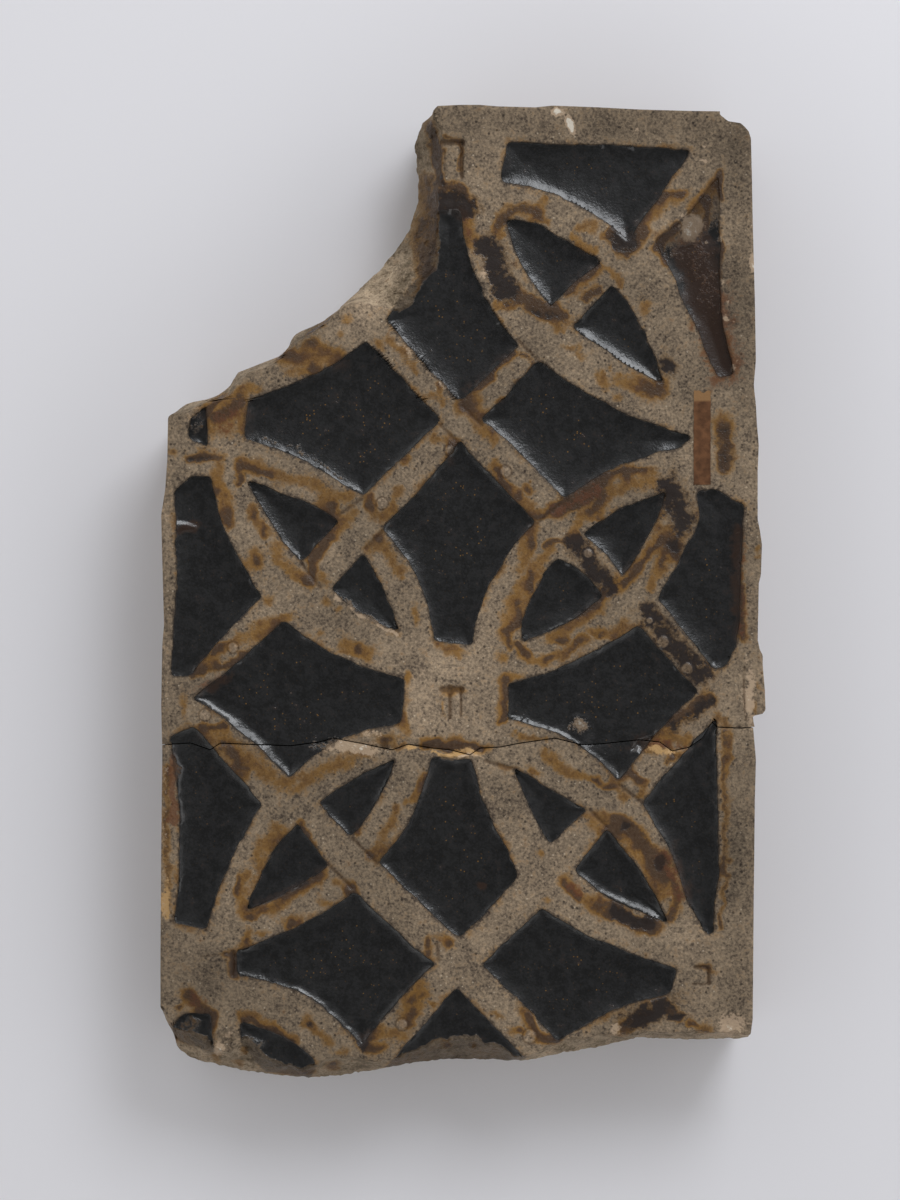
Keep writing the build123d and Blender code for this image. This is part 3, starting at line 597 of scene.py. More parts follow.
# Broad lighter and darker areas of the fired body. The strength is the change in tone.
TONES = ovals(
    (0, 2, 44, 56, 0, 0.22), (30, 160, 110, 14, 0, -0.14), (79, 120, 10, 90, 0, -0.12),
    (-70, -78, 32, 30, 0, -0.16), (-25, 22, 22, 60, 62, -0.06), (66, 75, 34, 30, 0, 0.02),
    (30, -55, 40, 30, 0, 0.03), (78, -50, 10, 80, 0, -0.14), (-78, 40, 8, 80, 0, -0.06),
    # The second and third ovals on this line darken the upper-left break
    (-42, 101.8, 17, 4.5, 38, -0.25), (-9, 145, 12, 40, 0, -0.10), (-11, 122, 8, 22, -20, -0.06),
    (-25, 110, 24, 11, 38, 0.34))


def turned(x: Array, y: Array, degrees: float) -> tuple[Array, Array]:
    """A place measured along and across a direction, which is given from the x axis."""
    c, s = math.cos(math.radians(degrees)), math.sin(math.radians(degrees))
    return x * c + y * s, y * c - x * s


def smooth_noise(x: Array, y: Array, grain: float, seed: int) -> Array:
    """Even lumps from -1 to 1: lattice heights blended between neighbours by 3t^2 - 2t^3.

    Args:
        x: first coordinate.
        y: second coordinate.
        grain: size of a lump.
        seed: which lattice.

    Returns:
        The noise at each place.
    """
    table = np.random.default_rng(seed).uniform(-1.0, 1.0, (LATTICE, LATTICE))
    u, v = x / grain + LATTICE, y / grain + LATTICE
    i, j = np.floor(u).astype(int), np.floor(v).astype(int)
    s, t = u - i, v - j
    s, t = s * s * (3 - 2 * s), t * t * (3 - 2 * t)
    i0, i1, j0, j1 = i % LATTICE, (i + 1) % LATTICE, j % LATTICE, (j + 1) % LATTICE
    low = table[i0, j0] * (1 - s) + table[i1, j0] * s
    high = table[i0, j1] * (1 - s) + table[i1, j1] * s
    return low * (1 - t) + high * t


def distance_to_line(x: Array, y: Array, line: Array, closed: bool = True) -> tuple[Array, Array, Array]:
    """Distance from each place to a line of short runs, negative inside a closed one.

    Each place is dropped square onto every run, and the nearest foot is kept. A place is inside
    when a ray from it crosses the line an odd number of times.

    Args:
        x: first coordinate of the places.
        y: second coordinate of the places.
        line: the line's points, one row each.
        closed: whether the last point joins the first.

    Returns:
        The distance, and the foot's two coordinates.
    """
    start = line if closed else line[:-1]
    end = np.roll(line, -1, axis=0) if closed else line[1:]
    run = end - start
    px, py = x[:, None] - start[:, 0], y[:, None] - start[:, 1]
    t = np.clip((px * run[:, 0] + py * run[:, 1]) / (run**2).sum(axis=1), 0.0, 1.0)
    dx, dy = px - t * run[:, 0], py - t * run[:, 1]
    squared = dx**2 + dy**2
    nearest = squared.argmin(axis=1)
    rows = np.arange(len(x))
    distance = np.sqrt(squared[rows, nearest])
    if closed:
        spans = (start[:, 1] > y[:, None]) != (end[:, 1] > y[:, None])
        rise = np.where(run[:, 1] == 0, 1e-9, run[:, 1])
        beyond = px < py * run[:, 0] / rise
        distance = np.where((spans & beyond).sum(axis=1) % 2 == 1, -distance, distance)
    return distance, x - dx[rows, nearest], y - dy[rows, nearest]


def along(knots: tuple[Point, ...], at: Array) -> Array:
    """Reads an outline that is given as knots, in straight runs between them."""
    table = np.array(knots)
    return np.interp(at, table[:, 0], table[:, 1])


def jagged(at: Array) -> Array:
    """How far small splinters are missing along a broken edge, in millimetres."""
    return np.abs(Lumps.SPLINTER.at(at, np.zeros_like(at)))


def strength_of(x: Array, y: Array, marks: tuple[Oval | Streak, ...]) -> Array:
    """Strength of the strongest mark at each place: a soft bell, its place shifted by noise."""
    u, v = x + Lumps.STAIN_X.at(x, y), y + Lumps.STAIN_Y.at(x, y)
    strongest = np.zeros(x.shape)
    for mark in marks:
        bell = np.exp(-MARK_FALL * mark.radius(u, v) ** MARK_POWER)
        strongest = np.maximum(strongest, mark.strength * bell)
    return strongest


def tone_of(x: Array, y: Array) -> Array:
    """Broad change of tone: bells round each area, plus slow noise."""
    return Lumps.TONE.at(x, y) + sum(area.strength * np.exp(-area.radius(x, y) ** 2) for area in TONES)


@dataclass(frozen=True)
class Interlace:
    """The carved face: where the glaze fields are, and how high the clay and glaze stand."""

    reach: float = 9.0
    clay_from: float = 0.6
    creep_swing: float = 0.4
    roll_calm: float = 0.5
    thin_rise: float = 0.6
    nub_rise: float = 0.34
    flake_reach: float = 1.3
    flake_fade: float = 0.4
    lip_drop: Point = (0.35, 0.5)
    lip_reach: Point = (0.45, 1.3)
    glazed_lip: float = 0.15
    loose_share: float = 0.25
    glazed_wave: float = 0.4
    torn_from: float = 0.002
    torn_onset: float = 0.25
    torn_power: float = 0.85
    torn_sink: float = 0.6
    break_softness: float = 0.25
    rise_limit: float = 0.2

    def field(self, x: Array, y: Array) -> tuple[Array, Array, Array]:
        """Distance to the nearest glaze edge, negative in the glaze, and the way to that edge.

        The place is first shifted a little by noise, which makes the edges uneven as if cut by hand.

        Args:
            x: first coordinate.
            y: second coordinate.

        Returns:
            The distance, and the two parts of the move that reaches the edge.
        """
        u = x + Lumps.DRIFT_X.at(x, y) + Lumps.DRIFT_X_FINE.at(x, y)
        v = y + Lumps.DRIFT_Y.at(x, y) + Lumps.DRIFT_Y_FINE.at(x, y)
        distance = np.full(x.shape, self.reach)
        move_x, move_y = np.zeros(x.shape), np.zeros(x.shape)
        for panel in PANELS:
            line = panel.line()
            low, high = line.min(axis=0) - self.reach, line.max(axis=0) + self.reach
            near = np.flatnonzero((u > low[0]) & (u < high[0]) & (v > low[1]) & (v < high[1]))
            if near.size == 0:
                continue
            d, foot_x, foot_y = distance_to_line(u[near], v[near], line)
            better = d < distance[near]
            kept = near[better]
            distance[kept] = d[better]
            move_x[kept] = foot_x[better] - u[kept]
            move_y[kept] = foot_y[better] - v[kept]
        return distance, move_x, move_y

    def section(self, distance: Array, creep: Array, roll: Array) -> Array:
        """Height below the band's face: a rounded arris, a short wall, then a curved glaze edge.

        Past the wall the glaze falls to its floor by an exponential of the way in.

        Args:
            distance: distance to the glaze edge, negative in the glaze.
            creep: how far the glaze has crept up the edge, about one.
            roll: how much deeper the glaze rolls over its edge than elsewhere.

        Returns:
            The height, nought or less.
        """
        outside = np.clip(1 - distance / ARRIS_ROUND, 0.0, 1.0)
        inside = np.maximum(-distance, 0.0)
        wall = ARRIS_DROP * outside**2 + (WALL_DROP - ARRIS_DROP) * np.clip(inside / WALL_RUN, 0.0, 1.0)
        run = np.maximum(inside - WALL_RUN, 0.0)
        return -(wall + (GLAZE_DEPTH - WALL_DROP + roll) * (1 - np.exp(-run / (MENISCUS * creep))))

    def break_share(self, x: Array, y: Array) -> Array:
        """How far down a break a place is: nought on the face, one at the outline."""
        wide = TILE_WIDTH
        face = np.array(
            ((-wide, UPPER_ARRIS[0][1]),) + UPPER_ARRIS + ((UPPER_ARRIS[-1][0], 2 * wide), (wide, 2 * wide))
            + ((wide, LOWER_ARRIS[0][1]),) + LOWER_ARRIS + ((-wide, LOWER_ARRIS[-1][1]),)
        )
        upper = np.array([(side, end) for end, side in LEFT_SIDE if end > UPPER_ARRIS[0][1] - 1])
        lower = np.array(BROKEN_END)
        past = distance_to_line(x + Lumps.BREAK_X.at(x, y), y + Lumps.BREAK_Y.at(x, y), face)[0]
        past = np.maximum(past, 0.0)
        left = [distance_to_line(x, y, line, closed=False)[0] for line in (upper, lower)]
        return past / (past + np.minimum(*left) + self.break_softness)

    def groove(self, x: Array, y: Array) -> Array:
        """Depth of the lap lines and the stamped strokes."""
        return sum(cut.drop(x, y) for cut in LAP_CUTS + STAMP_STROKES)

    def carved(self, x: Array, y: Array, distance: Array, clay: Array) -> Array:
        """Height of the face as it was carved and glazed, with its lap lines and its nubs."""
        thin, roll = strength_of(x, y, MARKS[Tint.THIN]), strength_of(x, y, ROLLS)
        creep = 1 + (self.creep_swing - self.roll_calm * roll) * Lumps.CREEP.at(x, y)
        face = WORN_FACE_Z + self.section(distance, creep, roll) * (1 - self.thin_rise * thin)
        face += Lumps.FACE.at(x, y) * (self.glazed_wave + (1 - self.glazed_wave) * clay)
        face += Lumps.GLAZE.at(x, y) * (1 - clay)
        face += (Lumps.CLAY.at(x, y) - self.groove(x, y)) * clay
        return face + self.nub_rise * sum(np.clip(1 - nub.radius(x, y) ** 2, 0.0, 1.0) for nub in NUBS)

    def chipped(self, x: Array, y: Array, clay: Array) -> Array:
        """How much has come off the face: flakes, and the lips of the crack, mostly where bare."""
        grit = Lumps.FLAKE.at(x, y)
        gone = sum(
            flake.strength * np.clip(self.flake_reach - flake.radius(x, y) + grit, 0.0, self.flake_fade)
            for flake in FLAKES) / self.flake_fade
        loose = np.clip(Lumps.LOOSE.at(x, y) + self.loose_share, 0.0, 1.0)
        drop, reach = (least + most * loose for least, most in (self.lip_drop, self.lip_reach))
        lip = drop * np.clip(1 - np.abs(y - along(CRACK, x)) / reach, 0.0, 1.0)
        return gone + lip * (self.glazed_lip + (1 - self.glazed_lip) * clay)

    def torn(self, x: Array, y: Array, share: Array) -> Array:
        """Height of the rough clay in a break: a slope with lumps of three sizes on it."""
        lumps = Lumps.TORN.at(x, y) + np.abs(Lumps.TORN_LUMP.at(x, y)) + Lumps.TORN_GRAIN.at(x, y)
        onset = np.clip(share / self.torn_onset, 0.0, 1.0)
        return FACE_Z - BREAK_DEPTH * share**self.torn_power + (lumps - self.torn_sink) * onset

    def height(self, x: Array, y: Array, distance: Array, share: Array) -> Array:
        """Height of the top surface: the carved face, less what has chipped, or the break.

        Args:
            x: first coordinate.
            y: second coordinate.
            distance: distance to the nearest glaze edge.
            share: how far down a break each place is.

        Returns:
            The height above the underside.
        """
        clay = np.clip(distance / self.clay_from, 0.0, 1.0)
        face = self.carved(x, y, distance, clay) - self.chipped(x, y, clay)
        height = np.where(share > self.torn_from, np.minimum(face, self.torn(x, y, share)), face)
        return np.minimum(height, FACE_Z + self.rise_limit)


@dataclass
class Fragment:
    """One piece of the broken tile: a gridded top, walls carried down from its rim, and a base.

    Each ring of the base is a share of the way in to the middle, and a height off the floor.
    """

    name: str
    node: str
    columns: int
    rows: int
    middle: Point
    wall_levels: int = 14
    draws: int = 2
    worn_arris: float = 0.9
    arris_drop: float = 0.45
    sound_below: float = 0.05
    drawn_cells: float = 0.5
    foot_cells: float = 1.5
    nub_limit: float = 4.0
    level_power: float = 0.9
    stain_fade: float = 4.0
    crease: float = 48.0
    base_rings: tuple[Point, ...] = ((0.008, 0.0), (0.05, 0.05), (0.3, 0.12), (0.65, 0.1))

    def plan(self) -> tuple[Array, Array]:
        """Where the grid's points lie in plan."""
        raise NotImplementedError

    def crack_side(self) -> slice:
        """The stretch of the rim that is the crack."""
        raise NotImplementedError

    def top(self, interlace: Interlace) -> tuple[Array, dict[str, Array]]:
        """Works out the top surface, with grid points drawn onto the glaze edges and the wall's foot.

        Args:
            interlace: the carved face.

        Returns:
            The points, one row each, and the vertex attributes by name.
        """
        grid_x, grid_y = self.plan()
        x, y = grid_x.ravel(), grid_y.ravel()
        cell = TILE_WIDTH / self.columns
        inner = np.pad(np.ones((self.rows - 1, self.columns - 1), bool), 1).ravel()
        distance, move_x, move_y = interlace.field(x, y)
        step = cell * np.maximum(np.abs(move_x), np.abs(move_y)) / np.maximum(np.abs(distance), 1e-6)
        drawn = (np.abs(distance) <= self.drawn_cells * step) & inner
        foot = (distance < -self.drawn_cells * step) & (distance > -self.foot_cells * step) & inner
        for _ in range(self.draws):
            share = np.where(drawn, 1.0, np.where(foot, 1 - WALL_RUN / np.maximum(-distance, 0.15), 0.0))
            x, y = x + share * move_x, y + share * move_y
            distance, move_x, move_y = interlace.field(x, y)
        distance = np.where(drawn, 0.0, np.where(foot, -WALL_RUN, distance))
        share = interlace.break_share(x, y)
        z = interlace.height(x, y, distance, share)
        side = np.minimum(x - along(LEFT_SIDE, y), along(RIGHT_SIDE, y) - x)
        edge = np.minimum(side, along(SOUND_END, x) - y)
        wear = self.worn_arris * (0.8 + Lumps.WEAR.at(x, y))
        rounded = self.arris_drop * np.clip(1 - edge / wear, 0.0, 1.0) ** 2
        z -= np.where(share < self.sound_below, rounded, 0.0)
        values = {"panel": distance, "share": share, "tone": tone_of(x, y), "groove": interlace.groove(x, y)}
        values["nub"] = np.minimum(np.min([nub.radius(x, y) for nub in NUBS], axis=0), self.nub_limit)
        for tint, marks in MARKS.items():
            values[tint.value] = strength_of(x, y, marks)
        return np.stack((x, y, z), axis=1), values

    @staticmethod
    def split(numbers: Array, height: Array) -> Array:
        """Splits each cell of the grid into two triangles, along the diagonal that is more level."""
        a, b = numbers[:-1, :-1].ravel(), numbers[:-1, 1:].ravel()
        c, d = numbers[1:, 1:].ravel(), numbers[1:, :-1].ravel()
        level = np.abs(height[a] - height[c]) <= np.abs(height[b] - height[d])
        first = np.where(level, np.stack((a, b, c)), np.stack((a, b, d)))
        second = np.where(level, np.stack((a, c, d)), np.stack((b, c, d)))
        return np.concatenate((first.T, second.T))

    def flanks(self, rim_height: Array) -> tuple[Array, Array]:
        """Lean and roughness of the wall at each point of the rim."""
        kinds = np.where(rim_height < FACE_Z - BREAK_RIM_DROP, 1, 0)
        kinds[self.crack_side()] = 2
        return tuple(np.array([flank.value for flank in Flank])[kinds].T)

    def walls(self, edge: Array) -> list[Array]:
        """Works out the levels of the side walls, from under the rim down to the floor.

        A wall point moves inwards from the rim by the lean times its way down, plus noise.

        Args:
            edge: the rim's points, one row each.

        Returns:
            The points of each level.
        """
        ahead = sum(np.roll(edge, -k, axis=0) - np.roll(edge, k, axis=0) for k in (1, 2, 3, 4))[:, :2]
        inward = np.stack((-ahead[:, 1], ahead[:, 0]), axis=1)
        inward /= np.hypot(inward[:, 0], inward[:, 1])[:, None]
        step = np.hypot(*(np.roll(edge, -1, axis=0) - edge)[:, :2].T)
        way = np.concatenate(([0.0], np.cumsum(step)[:-1]))
        lean, rough = self.flanks(edge[:, 2])
        levels = []
        for t in self.depths():
            z = edge[:, 2] * (1 - t)
            uneven = 0.5 + Lumps.WALL.at(way, z) + Lumps.WALL_GRAIN.at(way, z)
            shift = lean * t + rough * np.clip(uneven, 0.0, 1.2) * min(1.0, 4 * t)
            levels.append(np.column_stack((edge[:, :2] + inward * shift[:, None], z)))
        return levels

    def depths(self) -> Array:
        """How far down the wall each level is, as a share of its height."""
        return np.linspace(0.0, 1.0, self.wall_levels + 1)[1:] ** self.level_power

    def mesh(self, interlace: Interlace) -> bpy.types.Object:
        """Joins the top, the walls and the underside into one closed mesh.

        The underside is rings drawn in towards a middle point. Stains fade down the walls.

        Args:
            interlace: the carved face.

        Returns:
            The fragment's object, at the origin.
        """
        points, values = self.top(interlace)
        numbers = np.arange(len(points)).reshape(self.rows + 1, -1)
        rim = rim_of(numbers)
        count = len(rim)
        levels = self.walls(points[rim])
        base, middle = levels[-1][:, :2], np.array(self.middle)
        for share, lift in self.base_rings:
            levels.append(np.column_stack((base + (middle - base) * share, np.full(count, lift))))
        tip = len(points) + len(levels) * count
        loops = np.concatenate((rim, np.arange(len(points), tip))).reshape(-1, count)
        ahead = np.roll(loops, -1, axis=1)
        quads = np.stack((loops[:-1], loops[1:], ahead[1:], ahead[:-1]), axis=-1).reshape(-1, 4)
        fan = np.stack((loops[-1], np.full(count, tip), ahead[-1]), axis=1)
        vertices = np.concatenate((points, *levels, [(*middle, self.base_rings[-1][1])])) * METRE
        carved = self.split(numbers, points[:, 2])
        faces = quads.tolist() + carved.tolist() + fan.tolist()
        piece = new_object(self.name, vertices, faces, sharp=self.crease)

        fading = {tint.value: np.maximum(0.0, 1 - self.stain_fade * self.depths()) for tint in Tint}
        for name, value in values.items():
            bare = interlace.reach if name in ("panel", "nub") else 0.0
            wall = np.outer(fading.get(name, np.ones(self.wall_levels)), value[rim])
            if name == "panel":
                wall[:] = bare
            whole = np.concatenate((value, wall.ravel(), np.full(len(self.base_rings) * count + 1, bare)))
            layer = piece.data.attributes.new(name, "FLOAT", "POINT")
            layer.data.foreach_set("value", whole.astype(np.float32))
        return piece


@dataclass
class UpperFragment(Fragment):
    """The larger piece, from the crack to the sound end."""

    crack_fade: float = 14.0
    end_fade: float = 9.0

    def plan(self) -> tuple[Array, Array]:
        """Rows run between the sides, and bend near the crack and the sound end to follow them."""
        u, v = np.meshgrid(np.linspace(0, 1, self.columns + 1), np.linspace(0, 1, self.rows + 1))
        low, high = CRACK[0][1], SOUND_END[0][1]
        y = low + (high - low) * v
        left, right = along(LEFT_SIDE, y) + jagged(y) * (y > UPPER_ARRIS[0][1]), along(RIGHT_SIDE, y)
        x = left + (right - left) * u
        near_crack = np.clip(1 - (y - low) / self.crack_fade, 0.0, 1.0) ** 2
        near_end = np.clip(1 - (high - y) / self.end_fade, 0.0, 1.0) ** 2
        bend = near_crack * (along(CRACK, x) + CRACK_GAP / 2 - low) + near_end * (along(SOUND_END, x) - high)
        return x, y + bend

    def crack_side(self) -> slice:
        """The crack is the grid's first row."""
        return slice(0, self.columns)


@dataclass
class LowerFragment(Fragment):
    """The piece below the crack, broken away at its far end."""

    passes: int = 3

    def plan(self) -> tuple[Array, Array]:
        """Columns run from the broken end to the crack, between the two sides."""
        u, v = np.meshgrid(np.linspace(0, 1, self.columns + 1), np.linspace(0, 1, self.rows + 1))
        low, high = BROKEN_END[-1][1], CRACK[0][1]
        x, y = u, low + (high - low) * v
        for _ in range(self.passes):
            x = along(LEFT_SIDE, y) + (along(RIGHT_SIDE, y) - along(LEFT_SIDE, y)) * u
            end = along(BROKEN_END, x) + jagged(x)
            y = end + (along(CRACK, x) - CRACK_GAP / 2 - end) * v
        return x, y

    def crack_side(self) -> slice:
        """The crack is the grid's last row."""
        start = self.columns + self.rows
        return slice(start, start + self.columns + 1)


def rim_of(numbers: Array) -> Array:
    """Grid numbers round the rim of a grid, anticlockwise from the lower left corner."""
    return np.concatenate((numbers[0, :-1], numbers[:-1, -1], numbers[-1, :0:-1], numbers[:0:-1, 0]))


def new_object(name: str, vertices: Array, faces: list[list[int]], sharp: float) -> bpy.types.Object:
    """Puts a finished surface into the scene.

    Args:
        name: the piece's name.
        vertices: points in metres, one row each.
        faces: corner numbers of each face.
        sharp: angle in degrees past which an edge is shaded as a crease.

    Returns:
        The new object, at the origin.
    """
    mesh = bpy.data.meshes.new(name)
    mesh.from_pydata(vertices.tolist(), [], faces)
    mesh.validate()
    mesh.shade_smooth()
    mesh.set_sharp_from_angle(angle=math.radians(sharp))
    piece = bpy.data.objects.new(name, mesh)
    bpy.context.scene.collection.objects.link(piece)
    return piece


def cells_of(numbers: Array) -> Array:
    """Corner numbers of each cell of a grid."""
    corners = (numbers[:-1, :-1], numbers[:-1, 1:], numbers[1:, 1:], numbers[1:, :-1])
    return np.stack(corners, axis=-1).reshape(-1, 4)


@dataclass
class PaperSlip:
    """A slip of old paper pasted on the right margin, a little lifted along its edges."""

    name: str = "paper_slip"
    node: str = "paper_label"
    x: float = 68.5
    y: float = 72.5
    width: float = 4.9
    length: float = 26.8
    side_inset: float = 0.1
    end_inset: float = 0.4
    base_z: float = 37.93
    thickness: float = 0.1
    curl: float = 0.14
    least_curl: float = 0.4
    torn_share: float = 0.1
    deepest_tear: float = 0.5
    longest_tatter: float = 0.4
    crease: float = 40.0
    columns: int = 28
    rows: int = 140

    def surface(self, lift: float) -> Array:
        """A sheet over u and v. Its edges waver, its far end is torn, and it rises to its rim."""
        u, v = np.meshgrid(np.linspace(-1, 1, self.columns + 1), np.linspace(-1, 1, self.rows + 1))
        near_tear = np.clip(1 - (1 - v) / (2 * self.torn_share), 0, 1)
        tear = Lumps.PAPER_TEAR.at(u * self.width, v) * near_tear
        waver = Lumps.PAPER_EDGE.at(v * self.length, u) * np.abs(u)
        x = self.x + u * (self.width / 2 - self.side_inset) + waver
        y = self.y + v * (self.length / 2 - self.end_inset)
        y += np.clip(tear, -self.deepest_tear, self.longest_tatter)
        rise = self.curl * np.abs(u) ** 3 * (self.least_curl + Lumps.PAPER_CURL.at(u * 3, v * 14))
        z = self.base_z + lift + rise + Lumps.PAPER_FACE.at(x, y)
        return np.stack((x, y, z), axis=-1).reshape(-1, 3)

    def mesh(self) -> bpy.types.Object:
        """Joins an upper and an under sheet round their rim into one closed slip."""
        upper, under = self.surface(self.thickness), self.surface(0.0)
        count = len(upper)
        grid = np.arange(count).reshape(self.rows + 1, -1)
        quads, rim = cells_of(grid), rim_of(grid)
        ahead = np.roll(rim, -1)
        walls = np.stack((rim, rim + count, ahead + count, ahead), axis=1)
        faces = np.concatenate((quads, quads[:, ::-1] + count, walls))
        vertices = np.concatenate((upper, under)) * METRE
        return new_object(self.name, vertices, faces.tolist(), sharp=self.crease)


def linear(colour: str) -> tuple[float, float, float, float]:
    """Turns an sRGB hex colour into the linear value that a shader takes."""
    parts = (int(colour[k : k + 2], 16) / 255 for k in (1, 3, 5))
    return (*(p / 12.92 if p <= 0.04045 else ((p + 0.055) / 1.055) ** 2.4 for p in parts), 1.0)


class Use(Enum):
    """What a node is for: its type, its inputs in the order filled, the output read, its settings."""

    PLACE = ("TexCoord", (), "Object", {})
    WAY = ("TexCoord", (), "Generated", {})
    VALUE = ("Attribute", (), "Fac", {})
    NOISE = ("TexNoise", ("Vector", "Scale", "Detail", "Roughness"), "Fac", {})
    CELLS = ("TexVoronoi", ("Vector", "Scale"), "Distance", {})
    RED = ("SeparateColor", (0,), 0, {})
    GREEN = ("SeparateColor", (0,), 1, {})
    ALONG = ("SeparateXYZ", (0,), "Y", {})
    HEIGHT = ("SeparateXYZ", (0,), "Z", {})
    GREY = ("CombineColor", (0, 1, 2), 0, {})
    PLUS = ("Math", (0, 1), 0, {"operation": "ADD"})
    MINUS = ("Math", (0, 1), 0, {"operation": "SUBTRACT"})
    TIMES = ("Math", (0, 1), 0, {"operation": "MULTIPLY"})
    LARGER = ("Math", (0, 1), 0, {"operation": "MAXIMUM"})
    LINE = ("MapRange", ("Value", "From Min", "From Max", "To Min", "To Max"), "Result", {})
    RAMP = (*LINE[:3], {"interpolation_type": "SMOOTHSTEP"})
    MIX = ("Mix", (0, 6, 7), 2, {"data_type": "RGBA"})
    SHADE = ("Mix", (0, 6, 7), 2, {"data_type": "RGBA", "blend_type": "MULTIPLY"})
    BLEND = ("Mix", (0, 2, 3), 0, {"data_type": "FLOAT"})
    FACING = ("VectorMath", (0, 1), "Value", {"operation": "DOT_PRODUCT"})
    BUMP = ("Bump", ("Height", "Distance", "Strength"), "Normal", {})
    SHADER = (
        "BsdfPrincipled",
        ("Base Color", "Roughness", "Specular IOR Level", "Normal", "IOR",
         "Coat Weight", "Coat Roughness", "Coat IOR", "Coat Normal"), 0, {})
    AIR = ("Background", ("Color", "Strength"), 0, {})
    SURFACE = ("OutputMaterial", ("Surface",), None, {})
    SKY = ("OutputWorld", ("Surface",), None, {})


def add_node(tree: bpy.types.NodeTree, use: Use, *values: object, **settings: object) -> object:
    """Adds a node, sets its properties, and fills or links its inputs.

    Args:
        tree: the node tree.
        use: what the node is for.
        values: what its inputs hold in turn: a number, a hex colour or another node's output.
        settings: properties beyond those that the use brings.

    Returns:
        The output that the use reads, or nothing for the node that ends a tree.
    """
    kind, inputs, output, usual = use.value
    node = tree.nodes.new("ShaderNode" + kind)
    for name, value in (usual | settings).items():
        setattr(node, name, value)
    for key, value in zip(inputs, values):
        if isinstance(value, bpy.types.NodeSocket):
            tree.links.new(value, node.inputs[key])
        else:
            node.inputs[key].default_value = linear(value) if isinstance(value, str) else value
    return None if output is None else node.outputs[output]


def adder(owner: bpy.types.Material | bpy.types.World) -> partial:
    """Empties the node tree of a material or a world, and returns the function that adds to it."""
    owner.use_nodes = True
    owner.node_tree.nodes.clear()
    return partial(add_node, owner.node_tree)


def per_metre(size: float) -> float:
    """Texture scale that gives a pattern this size, in millimetres, on Object coordinates."""
    return 1.0 / (size * METRE)


